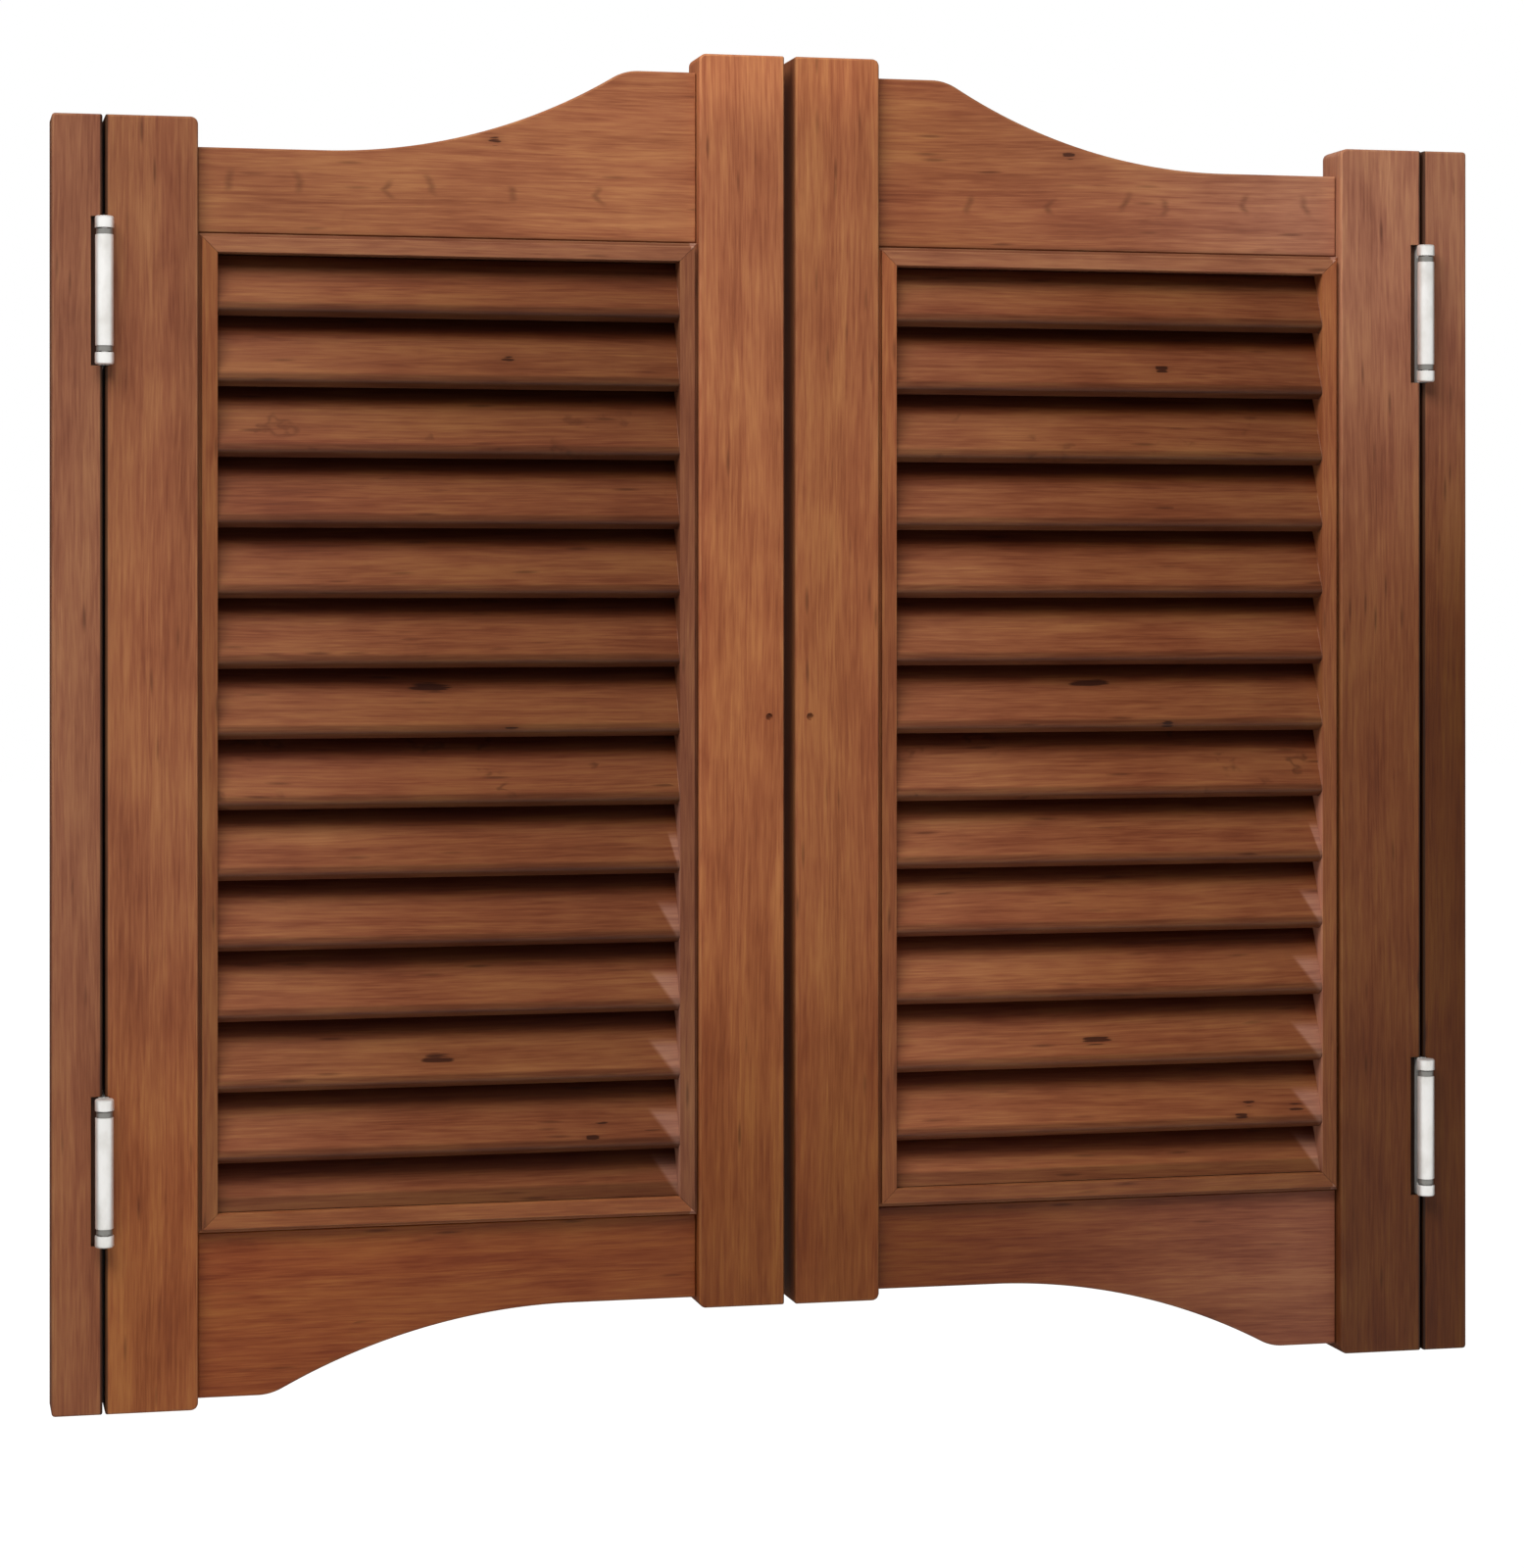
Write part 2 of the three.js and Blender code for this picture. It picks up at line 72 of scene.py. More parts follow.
def placeCamera(spec):
    lens = bpy.data.cameras.new("camera")
    lens.sensor_fit = "VERTICAL"
    lens.sensor_height = spec["sensorHeight"]
    lens.lens = spec["lens"]
    lens.shift_y = spec["shift"]
    camera = bpy.data.objects.new("camera", lens)
    camera.location = spec["position"]
    camera.rotation_euler = (math.radians(90), 0, -math.radians(spec["turn"]))
    bpy.context.scene.collection.objects.link(camera)
    bpy.context.scene.camera = camera


placeCamera(cameraSpec)
bpy.context.scene.view_settings.view_transform = "Standard"
print("camera placed")


# node graphs: a number or colour sets a socket, another node's output is linked to it
def wire(tree, kind, sockets=None, **settings):
    made = tree.nodes.new("ShaderNode" + kind)
    for setting, value in settings.items():
        setattr(made, setting, value)
    for socket, value in (sockets or {}).items():
        if isinstance(value, bpy.types.NodeSocket):
            tree.links.new(value, made.inputs[socket])
        else:
            made.inputs[socket].default_value = value
    return made


def newMaterial(name):
    material = bpy.data.materials.new(name)
    material.use_nodes = True
    material.node_tree.nodes.clear()
    return material, material.node_tree


def maths(tree, operation, first, second=0.0, third=0.0):
    return wire(tree, "Math", {0: first, 1: second, 2: third}, operation=operation).outputs[0]


def vectorMaths(tree, operation, first, second):
    return wire(tree, "VectorMath", {0: first, 1: second}, operation=operation).outputs[0]


def remap(tree, value, fromLow, fromHigh, toLow=0.0, toHigh=1.0, smooth=False):
    sockets = {"Value": value, "From Min": fromLow, "From Max": fromHigh, "To Min": toLow, "To Max": toHigh}
    style = "SMOOTHSTEP" if smooth else "LINEAR"
    return wire(tree, "MapRange", sockets, interpolation_type=style).outputs[0]


# a number that a noise moves up and down, by this amount in all
def swayed(tree, number, noise, amount):
    return maths(tree, "MULTIPLY_ADD", maths(tree, "SUBTRACT", noise, 0.5), amount, number)


# a number that is multiplied by the factor where the mask is 1, and left where it is 0
def scaled(tree, number, mask, factor):
    return maths(tree, "MULTIPLY", number, remap(tree, mask, 0.0, 1.0, 1.0, factor))


# the marks so far, with one more of this depth wherever that is darker
def deeper(tree, marks, mask, depth):
    return maths(tree, "MAXIMUM", marks, maths(tree, "MULTIPLY", mask, depth))


def blendColour(tree, share, base, over):
    return wire(tree, "Mix", {0: share, 6: base, 7: over}, data_type="RGBA").outputs[2]


def hexColour(code):
    channels = [int(code[i:i + 2], 16) / 255 for i in (0, 2, 4)]
    linear = [c / 12.92 if c <= 0.04045 else ((c + 0.055) / 1.055) ** 2.4 for c in channels]
    return (*linear, 1.0)


def colourRamp(tree, value, stops):
    ramp = wire(tree, "ValToRGB", {0: value})
    elements = ramp.color_ramp.elements
    while len(elements) < len(stops):
        elements.new(1.0)
    for element, (place, code) in zip(elements, stops):
        element.position = place
        element.color = hexColour(code)
    return ramp.outputs[0]


def stretchedNoise(tree, place, across, along, detail, roughness=0.5, output="Fac"):
    stretched = vectorMaths(tree, "MULTIPLY", place, (across, across, along))
    sockets = {"Vector": stretched, "Scale": 1.0, "Detail": detail, "Roughness": roughness}
    return wire(tree, "TexNoise", sockets).outputs[output]


def scatteredCells(tree, place):
    return wire(tree, "TexVoronoi", {"Vector": place, "Scale": 1.0, "Randomness": 1.0}).outputs


def partsOf(tree, vector):
    return wire(tree, "SeparateXYZ", {0: vector}).outputs


# numbers that an object, or the faces of its mesh, carry for the material
def objectNumber(tree, name):
    return wire(tree, "Attribute", attribute_type="OBJECT", attribute_name=name).outputs["Fac"]


def faceNumber(tree, name):
    return wire(tree, "Attribute", attribute_type="GEOMETRY", attribute_name=name).outputs["Fac"]


# stained hardwood under satin varnish, with painted light and shade in its stain; the grain runs along Z, or
# along X on rails and slats
woodLook = {
    "stops": [(0.22, "663420"), (0.40, "864a2d"), (0.50, "975937"), (0.60, "a5683f"), (0.80, "ba7d4e")],
    "dark": "3a1a0e",
    "endGrain": "5f3520",
    "wearAndHighlight": "b98456",
    # noises: how fine across and along the grain, detail, roughness
    "bands": (62.0, 1.6, 3.0, 0.55),
    "streaks": (360.0, 14.0, 3.0, 0.6),
    "blotches": (30.0, 14.0, 3.0),
    "fibres": (900.0, 40.0, 2.0),
    "wander": (6.0, 1.8, 2.0),
    "hueNoise": (30.0, 1.4, 2.0),
    "bending": (90.0, 60.0, 2.0),
    "breaking": (70.0, 42.0, 1.0),
    "pores": (900.0, 900.0, 2.0),
    "wearAndHighlightNoise": (60.0, 40.0, 3.0),
    "shares": {"bands": 0.28, "streaks": 0.38, "blotches": 0.34, "fibres": 0.28},  # in the colour
    "boardShift": (1.7, 2.9, 4.3),
    "wanderReach": 20 * mm,
    "hueDrift": 0.010,
    "fleckCells": (240.0, 240.0, 30.0),
    "fleckChoice": (0.90, 0.94),
    "fleckSize": (0.36, 0.12),
    "fleckDepth": 0.5,
    "curlCells": (27.0, 27.0, 25.0),
    "curlRing": 0.28,
    "curlRingWidth": (0.10, 0.01),
    "curlBreaks": (0.52, 0.62),
    "curlDepth": 0.45,
    "curlWidth": 4.4 * mm,
    "curlFade": (0.36, 0.60, 0.25),  # streaks that fade a curl on a rail, and how far
    "curlWave": 20 * mm,
    "curlTaper": 0.4,  # a curl is at its darkest over this share of its reach
    "knotRag": 12 * mm,
    "knotEdge": (1.10, 0.75),
    "knotDepth": 0.92,
    "haloSpread": 2.4,
    "haloEdge": (1.0, 0.1),
    "haloDepth": 0.22,
    "endFacing": (0.75, 0.95),  # how far a face looks along the grain, side to end
    "poreContrast": (0.35, 0.65),
    "wearAndHighlightPatches": (0.4, 0.65),
    "wearAndHighlightDepth": 0.35,
    "sheenStreaks": (0.3, 0.7),
    "sheen": (0.40, 0.52),
    "fibreRelief": 0.5,  # against the relief of the streaks
    "bump": 0.25,
    "bumpDepth": 0.3 * mm,
    "specular": 0.18,
    "recessShade": 0.19,  # painted shade: what is left of the colour in recesses, in the gaps and along the joints
    "hingeShade": (2.9 * mm, 2.2 * mm),  # from the hinge line, unshaded to painted shade
    "middleShade": (5.2 * mm, 4.2 * mm),  # painted shade, from the middle of the pair
    "middleDepth": 0.45,
    "jointShade": (3.6 * mm, 0.8 * mm),  # painted shade, from the joint between a top rail and its louvre
    "jointDepth": 0.32,
    # heights between which a stile takes on the tone of its head, its foot or its very tip; these gradings
    # paint the fall of light down the stiles as well as their own tone
    "head": (0.45, 0.80),
    "foot": (0.40, 0.08),
    "tip": (0.850, 0.905),
    "tipTone": 1.28,
    "endReach": 0.75,  # rails and slats take on the tone of an end over this share of their half length
    "pale": (0.46, 0.38),  # heights between which painted light makes the inner faces of the louvre frame pale
    "insideLightTone": 2.1,
    "insideLightSaturation": 0.85,
    "slatShadowDepths": (-4 * mm, 3 * mm),  # depths between which a painted shadow darkens a slat below the next one
    "slatShadowTone": 0.25,
    "slatShadowHue": -0.012,
    "slatShadowSaturation": 1.12,
    "lowEdgeShade": (10 * mm, 8 * mm),  # above the foot of a slat, plain to painted shade on its lower edge
    "lowEdgeShadeTone": 0.6,
    "reflectionHeight": 22 * mm,
    "reflectionReach": (29 * mm, 23 * mm),  # above the foot of a slat, no painted reflection to full painted reflection
    "reflectionEdge": (0.12, -0.16),
    "reflectionTone": 1.6,
    "reflectionSaturation": 0.82,
}
hingeLine = middleOf("right_upper_web").x  # from the middle of the pair
knotNames = ("firstKnot", "secondKnot", "thirdKnot")
curlNames = ("firstCurl", "secondCurl", "thirdCurl", "fourthCurl", "fifthCurl", "sixthCurl")


def quarterTurn(tree, vector):
    turn = {"Vector": vector, "Angle": math.radians(90)}
    return wire(tree, "VectorRotate", turn, rotation_type="Y_AXIS").outputs[0]


# every piece is cut from its own stretch of board, with a grain that wanders a little
def ownStretch(tree, place, look):
    shift = {0: look["boardShift"], "Scale": objectNumber(tree, "grainShift")}
    shift = wire(tree, "VectorMath", shift, operation="SCALE").outputs[0]
    board = vectorMaths(tree, "ADD", place, shift)
    wander = stretchedNoise(tree, board, *look["wander"], output="Color")
    wander = vectorMaths(tree, "SUBTRACT", wander, (0.5, 0.5, 0.5))
    sideways = (look["wanderReach"], look["wanderReach"], 0)
    return vectorMaths(tree, "ADD", board, vectorMaths(tree, "MULTIPLY", wander, sideways))


def plainGrain(tree, board, look):
    grain = {}
    figure = 0.5
    for layer, share in look["shares"].items():
        grain[layer] = stretchedNoise(tree, board, *look[layer])
        figure = swayed(tree, figure, grain[layer], share)
    colour = colourRamp(tree, figure, look["stops"])
    hue = swayed(tree, 0.5, stretchedNoise(tree, board, *look["hueNoise"]), look["hueDrift"])
    return wire(tree, "HueSaturation", {"Hue": hue, "Color": colour}).outputs[0], grain


# short dark flecks along the grain
def flecks(tree, board, look):
    cells = scatteredCells(tree, vectorMaths(tree, "MULTIPLY", board, look["fleckCells"]))
    lot = wire(tree, "SeparateColor", {0: cells["Color"]}).outputs[0]
    spot = remap(tree, cells["Distance"], *look["fleckSize"])
    return maths(tree, "MULTIPLY", remap(tree, lot, *look["fleckChoice"]), spot)


# small curls of wild grain, on the boards that have them
def wildGrain(tree, board, look):
    bent = stretchedNoise(tree, board, *look["bending"], output="Color")
    bent = vectorMaths(tree, "ADD", vectorMaths(tree, "MULTIPLY", board, look["curlCells"]), bent)
    offRing = maths(tree, "SUBTRACT", scatteredCells(tree, bent)["Distance"], look["curlRing"])
    curl = remap(tree, maths(tree, "ABSOLUTE", offRing), *look["curlRingWidth"])
    broken = remap(tree, stretchedNoise(tree, board, *look["breaking"]), *look["curlBreaks"])
    return maths(tree, "MULTIPLY", maths(tree, "MULTIPLY", curl, broken), objectNumber(tree, "curl"))


# a short dark line across the grain, bent or slanting
def bentLine(tree, across, height, curl, look):
    rise = maths(tree, "SUBTRACT", height, objectNumber(tree, curl + "Z"))
    away = maths(tree, "ABSOLUTE", rise)
    lean = maths(tree, "MULTIPLY", rise, objectNumber(tree, curl + "Slant"))
    lean = maths(tree, "MULTIPLY_ADD", away, objectNumber(tree, curl + "Bend"), lean)
    off = maths(tree, "SUBTRACT", maths(tree, "SUBTRACT", across, objectNumber(tree, curl + "X")), lean)
    line = remap(tree, maths(tree, "ABSOLUTE", off), look["curlWidth"], 0.0, smooth=True)
    reach = objectNumber(tree, curl + "Reach")
    full = maths(tree, "MULTIPLY", reach, look["curlTaper"])
    return maths(tree, "MULTIPLY", line, remap(tree, away, reach, full))


# 1 in the heart of a knot's oval, 0 outside it
def oval(tree, across, height, knot, spread, fromEdge, toHeart):
    alongShare = maths(tree, "SUBTRACT", across, objectNumber(tree, knot + "X"))
    alongShare = maths(tree, "DIVIDE", alongShare, objectNumber(tree, knot + "Length"))
    acrossShare = maths(tree, "SUBTRACT", height, objectNumber(tree, knot + "Z"))
    acrossShare = maths(tree, "DIVIDE", acrossShare, objectNumber(tree, knot + "Height"))
    squares = maths(tree, "MULTIPLY_ADD", acrossShare, acrossShare, maths(tree, "POWER", alongShare, 2.0))
    distance = maths(tree, "DIVIDE", maths(tree, "SQRT", squares), spread)
    return remap(tree, distance, fromEdge, toHeart, smooth=True)


# dark marks in the grain: flecks, curls, and knots with a stained halo drawn out along the grain
def grainMarks(tree, board, spot, grain, curls, look):
    marks = maths(tree, "MULTIPLY", flecks(tree, board, look), look["fleckDepth"])
    marks = deeper(tree, marks, wildGrain(tree, board, look), look["curlDepth"])
    wavy = swayed(tree, spot["X"], grain["bands"], look["curlWave"])
    faded = remap(tree, grain["streaks"], *look["curlFade"], look["curlDepth"])
    for curl in curls:
        marks = deeper(tree, marks, bentLine(tree, wavy, spot["Z"], curl, look), faded)
    ragged = swayed(tree, spot["Z"], grain["streaks"], look["knotRag"])
    for knot in knotNames:
        heart = oval(tree, spot["X"], ragged, knot, 1.0, *look["knotEdge"])
        halo = oval(tree, spot["X"], ragged, knot, look["haloSpread"], *look["haloEdge"])
        marks = deeper(tree, marks, heart, look["knotDepth"])
        marks = deeper(tree, marks, halo, look["haloDepth"])
    return marks


# ends of boards drink more stain
def stainedEnds(tree, colour, board, facing, look):
    endness = maths(tree, "ABSOLUTE", partsOf(tree, facing)["Z"])
    pores = remap(tree, stretchedNoise(tree, board, *look["pores"]), *look["poreContrast"])
    endColour = blendColour(tree, pores, hexColour(look["endGrain"]), colour)
    return blendColour(tree, remap(tree, endness, *look["endFacing"]), colour, endColour)


# arrises a little paler, partly rubbed by hands and cleaning and partly a painted highlight where the light
# catches them
def wearAndHighlightArrises(tree, colour, board, look):
    patchy = remap(tree, stretchedNoise(tree, board, *look["wearAndHighlightNoise"]), *look["wearAndHighlightPatches"])
    wearAndHighlight = maths(tree, "MULTIPLY", faceNumber(tree, "edgeWearAndHighlight"), patchy)
    wearAndHighlight = maths(tree, "MULTIPLY", wearAndHighlight, look["wearAndHighlightDepth"])
    return blendColour(tree, wearAndHighlight, colour, hexColour(look["wearAndHighlight"]))


# a number of the piece's own, with what its head and its foot add to it
def gradedNumber(tree, name, head, foot):
    number = maths(tree, "MULTIPLY_ADD", head, objectNumber(tree, name + "AtHead"), objectNumber(tree, name))
    return maths(tree, "MULTIPLY_ADD", foot, objectNumber(tree, name + "AtFoot"), number)


# painted shade: edges along the hinge lines and the middle of the pair are darkened where those gaps are in
# shade
def paintedJointShade(tree, across, look):
    offMiddle = maths(tree, "ABSOLUTE", across)
    offHinge = maths(tree, "ABSOLUTE", maths(tree, "SUBTRACT", offMiddle, hingeLine))
    hinge = remap(tree, offHinge, *look["hingeShade"])
    return deeper(tree, hinge, remap(tree, offMiddle, *look["middleShade"]), look["middleDepth"])


# a painted reflection: a pale corner at the right end of a slat, widest at the top
def reflectionCorner(tree, across, rise, look):
    fromEnd = maths(tree, "SUBTRACT", objectNumber(tree, "shownEnd"), across)
    share = maths(tree, "DIVIDE", fromEnd, objectNumber(tree, "reflectionWidth"))
    share = maths(tree, "SUBTRACT", share, maths(tree, "DIVIDE", rise, look["reflectionHeight"]))
    corner = remap(tree, share, *look["reflectionEdge"], smooth=True)
    return maths(tree, "MULTIPLY", corner, remap(tree, rise, *look["reflectionReach"]))


# depth of stain with painted light, saturation, hue and painted shade of an upright board
def uprightStain(tree, spot, look):
    across, height = spot["X"], spot["Z"]
    # the head, foot and tip gradings paint the fall of light down a board as well as its own tone
    head = remap(tree, height, *look["head"], smooth=True)
    foot = remap(tree, height, *look["foot"], smooth=True)
    tone = gradedNumber(tree, "tone", head, foot)
    saturation = gradedNumber(tree, "saturation", head, foot)
    tone = maths(tree, "MULTIPLY", tone, remap(tree, height, *look["tip"], 1.0, look["tipTone"], smooth=True))
    # painted light makes the inner faces of the louvre sides paler towards the bottom
    pale = maths(tree, "MULTIPLY", faceNumber(tree, "pale"), remap(tree, height, *look["pale"]))
    tone = scaled(tree, tone, pale, look["insideLightTone"])
    saturation = scaled(tree, saturation, pale, look["insideLightSaturation"])
    # painted shade in the mortises, the groove and along the gaps
    paintedShade = maths(tree, "MAXIMUM", faceNumber(tree, "recessShade"), paintedJointShade(tree, across, look))
    return tone, saturation, objectNumber(tree, "hue"), paintedShade


# and of a rail or slat; slats carry a painted shadow where the next one covers them, painted shade on their
# lower edges and a painted reflection at their right ends
def crosswiseStain(tree, spot, facing, look):
    across, height = spot["X"], spot["Z"]
    # the end gradings paint the light across a rail or slat as well as its own tone
    share = maths(tree, "SUBTRACT", across, objectNumber(tree, "middle"))
    share = maths(tree, "DIVIDE", share, objectNumber(tree, "halfLength"))
    rightEnd = remap(tree, share, 0.0, look["endReach"])
    leftEnd = remap(tree, share, 0.0, -look["endReach"])
    tone = gradedNumber(tree, "tone", rightEnd, leftEnd)
    saturation = gradedNumber(tree, "saturation", rightEnd, leftEnd)

    # painted shadow of the next slat up, deep behind a slat's front
    outward = maths(tree, "SIGN", partsOf(tree, facing)["Y"])
    inside = maths(tree, "MULTIPLY", spot["Y"], maths(tree, "MULTIPLY", outward, -1.0))
    paintedShadow = remap(tree, inside, *look["slatShadowDepths"], smooth=True)
    paintedShadow = maths(tree, "MULTIPLY", paintedShadow, objectNumber(tree, "slat"))
    tone = scaled(tree, tone, paintedShadow, look["slatShadowTone"])
    saturation = scaled(tree, saturation, paintedShadow, look["slatShadowSaturation"])
    hue = maths(tree, "MULTIPLY_ADD", paintedShadow, look["slatShadowHue"], objectNumber(tree, "hue"))

    rise = maths(tree, "SUBTRACT", height, objectNumber(tree, "foot"))
    # painted shade on a slat's lower edge
    lowEdgeShade = maths(tree, "MULTIPLY", remap(tree, rise, *look["lowEdgeShade"]), objectNumber(tree, "slat"))
    tone = scaled(tree, tone, lowEdgeShade, look["lowEdgeShadeTone"])
    # painted reflection at a slat's right end
    paintedReflection = reflectionCorner(tree, across, rise, look)
    tone = scaled(tree, tone, paintedReflection, look["reflectionTone"])
    saturation = scaled(tree, saturation, paintedReflection, look["reflectionSaturation"])

    # painted shade along the joint under a top rail
    offJoint = maths(tree, "ABSOLUTE", maths(tree, "SUBTRACT", height, objectNumber(tree, "joint")))
    joint = remap(tree, offJoint, *look["jointShade"])
    return tone, saturation, hue, deeper(tree, faceNumber(tree, "recessShade"), joint, look["jointDepth"])


def stainedWood(name, alongX, look, curls=()):
    material, tree = newMaterial(name)
    coordinates = wire(tree, "TexCoord").outputs
    place, facing = coordinates["Object"], coordinates["Normal"]
    spot = partsOf(tree, place)
    if alongX:
        tone, saturation, hue, paintedShade = crosswiseStain(tree, spot, facing, look)
        place = quarterTurn(tree, place)
        facing = quarterTurn(tree, facing)
    else:
        tone, saturation, hue, paintedShade = uprightStain(tree, spot, look)

    board = ownStretch(tree, place, look)
    colour, grain = plainGrain(tree, board, look)
    marks = grainMarks(tree, board, spot, grain, curls, look)
    colour = blendColour(tree, marks, colour, hexColour(look["dark"]))
    colour = stainedEnds(tree, colour, board, facing, look)
    colour = wearAndHighlightArrises(tree, colour, board, look)
    # painted shade darkens the stain in recesses, gaps and joints
    tone = scaled(tree, tone, paintedShade, look["recessShade"])
    toned = {"Hue": hue, "Value": tone, "Saturation": saturation, "Color": colour}

    relief = maths(tree, "MULTIPLY_ADD", grain["fibres"], look["fibreRelief"], grain["streaks"])
    bump = wire(tree, "Bump", {"Height": relief, "Strength": look["bump"], "Distance": look["bumpDepth"]})
    surface = wire(tree, "BsdfPrincipled", {
        "Base Color": wire(tree, "HueSaturation", toned).outputs[0],
        "Roughness": remap(tree, grain["streaks"], *look["sheenStreaks"], *look["sheen"]),
        "Specular IOR Level": look["specular"],
        "Normal": bump.outputs[0],
    })
    wire(tree, "OutputMaterial", {"Surface": surface.outputs[0]})
    return material


uprightWood = stainedWood("upright_wood", False, woodLook)
crosswiseWood = stainedWood("crosswise_wood", True, woodLook)
curledWood = stainedWood("curled_wood", True, woodLook, curlNames)
print("wood stained")


# timber: the frame's boards with every arris rounded over
timberSpec = {
    "weld": 0.01 * mm,
    "flat": 0.5,  # degrees; flatter folds are joined into one face
    "sharp": 25.0,  # degrees; sharper folds are rounded over
    "smooth": 40.0,
    "rounding": {
        "jamb_wood": 0.45 * mm,
        "stile_wood": 0.45 * mm,
        "rail_wood": 0.45 * mm,
        "louver_wood": 0.7 * mm,
        "slat_wood": 0.9 * mm,
    },
    "steps": 2,
    "mitreSlant": 0.6,
    "square": 0.9,  # a face that looks this much one way is square to it
    "recess": 1.2 * mm,  # this far inside a board's faces is the inside of a mortise
    "quirk": 1.0 * mm,  # and this far behind its front or back is the floor of a groove
    # painted shade in the groove round a louvre
    "grooveShade": {"left_louver_hinge_side": 0.4},
    "tone": {  # at the head or right end, in the middle, at the foot or left end; the boards' own tones with the fall of light over the pair painted in
        "left_jamb": (0.74, 0.88, 0.84),
        "left_hinge_stile": (0.71, 0.94, 1.0),
        "left_meeting_stile": (1.12, 1.22, 0.73),
        "right_meeting_stile": (1.0, 1.06, 0.70),
        "right_hinge_stile": (1.19, 0.61, 0.39),
        "right_jamb": (1.06, 0.35, 0.35),
        "left_top_rail": (1.07, 0.93, 0.80),
        "right_top_rail": (1.30, 1.06, 0.94),
        "left_bottom_rail": (0.72, 0.78, 0.88),
        "right_bottom_rail": (0.88, 0.70, 0.53),
        "left_louver_hinge_side": (0.66, 0.66, 0.66),
        "left_louver_meeting_side": (0.70, 0.70, 0.66),
        "right_louver_meeting_side": (1.05, 0.85, 0.78),
        "right_louver_hinge_side": (1.12, 0.80, 0.60),
        "left_louver_head": (0.80, 0.80, 0.80),
        "right_louver_head": (1.02, 0.96, 0.92),
        "left_louver_sill": (0.88, 0.88, 0.88),
        "right_louver_sill": (0.66, 0.70, 0.72),
    },
    "slatTone": (0.56, 0.78),  # the first slat's and the last one's; lower than the stiles' and rising towards the bottom, this grading paints the light on the slats
    # at the right end, in the middle and at the left end of each door's slats: painted light, brighter
    # towards the left
    "slatEnds": {"left": (0.78, 0.85, 1.05), "right": (0.95, 1.05, 1.23)},
    "toneSpread": 0.02,
    # saturation is graded like the tone; the greyer heads partly paint a veil of reflected light
    "saturation": {
        "left_jamb": (0.91, 0.92, 0.97),
        "left_hinge_stile": (0.95, 0.97, 1.03),
        "left_meeting_stile": (0.97, 1.0, 1.05),
        "right_meeting_stile": (0.98, 1.0, 1.05),
        "right_hinge_stile": (0.88, 1.01, 1.03),
        "right_jamb": (0.89, 1.06, 1.05),
        "left_top_rail": (0.96, 0.96, 0.96),
        "right_top_rail": (0.88, 0.95, 0.98),
        "left_bottom_rail": (1.05, 1.05, 1.05),
        "right_bottom_rail": (0.94, 1.0, 1.06),
        "left_louver_head": (0.93, 0.93, 0.93),
        "right_louver_head": (0.93, 0.93, 0.93),
        "left_louver_meeting_side": (0.95, 0.95, 0.95),
    },
    "slatSaturation": (1.0, 1.0, 0.97),
    "plainSaturation": (1.0, 1.0, 1.0),
    "hue": {"slat_wood": 0.4985, "left_bottom_rail": 0.495, "right_bottom_rail": 0.495},
    "plainHue": 0.5,  # leaves the stain as it is
    "curl": {"slat_03": 0.7, "slat_08": 1.0},
    "plainCurl": 0.1,
    "railCurls": [  # from the middle towards the meeting stile, above the lower edge, bend, slant, reach
        (-147 * mm, 36 * mm, 0.0, 0.35, 9 * mm),
        (-100 * mm, 36 * mm, -0.3, 0.0, 9 * mm),
        (-43 * mm, 32 * mm, 0.55, 0.0, 8 * mm),
        (-12 * mm, 36 * mm, 0.0, -0.4, 9 * mm),
        (46 * mm, 31 * mm, -0.6, 0.0, 7 * mm),
        (103 * mm, 31 * mm, 0.3, 0.0, 8 * mm),
    ],
    "railKnot": (30 * mm, 67 * mm, 5 * mm, 2 * mm),
    "knots": {  # from the middle of the slat, above its lower edge, half length, half height
        "slat_02": [(39 * mm, 20 * mm, 5 * mm, 2 * mm)],
        "slat_07": [(-13 * mm, 34 * mm, 16 * mm, 3 * mm), (41 * mm, 6 * mm, 5 * mm, 1.8 * mm)],
        "slat_12": [(-9 * mm, 19 * mm, 12 * mm, 2.4 * mm)],
        "slat_13": [(97 * mm, 10 * mm, 5 * mm, 2 * mm), (104 * mm, 19 * mm, 5 * mm, 1.6 * mm),
                    (139 * mm, 14 * mm, 6 * mm, 1.2 * mm)],
    },
    "noKnot": (0.0, farBelow, 5 * mm, 2 * mm),
    "housed": 5 * mm,  # length of a slat's end inside the louvre's side
    # widths of the painted reflection at the right ends of the slats
    "reflectionWidth": {"slat_09": 5 * mm, "slat_10": 11 * mm, "slat_11": 15 * mm, "slat_12": 16 * mm,
                  "slat_13": 16 * mm, "slat_14": 14 * mm},
    "noReflection": 0.01 * mm,
    "seed": 11,
}
slatCount = sum(node.startswith("left_slat_") for node in slotOf)


def bareCopy(node, spec):
    cad = frame["nodes"][node].data
    timber = bmesh.new()
    corners = [timber.verts.new(vertex.co) for vertex in cad.vertices]
    for face in cad.polygons:
        timber.faces.new([corners[i] for i in face.vertices])
    bmesh.ops.remove_doubles(timber, verts=timber.verts, dist=spec["weld"])
    flat = math.radians(spec["flat"])
    bmesh.ops.dissolve_limit(timber, angle_limit=flat, verts=timber.verts, edges=timber.edges)
    return timber


def markFaces(layer, faces, number=1.0):
    for face in faces:
        for loop in face.loops:
            loop[layer] = number


# a mitre stays tight: the folds round a slanting end face are left as they are
def onMitre(edge, spec):
    return any(min(abs(face.normal.x), abs(face.normal.z)) > spec["mitreSlant"] for face in edge.link_faces)


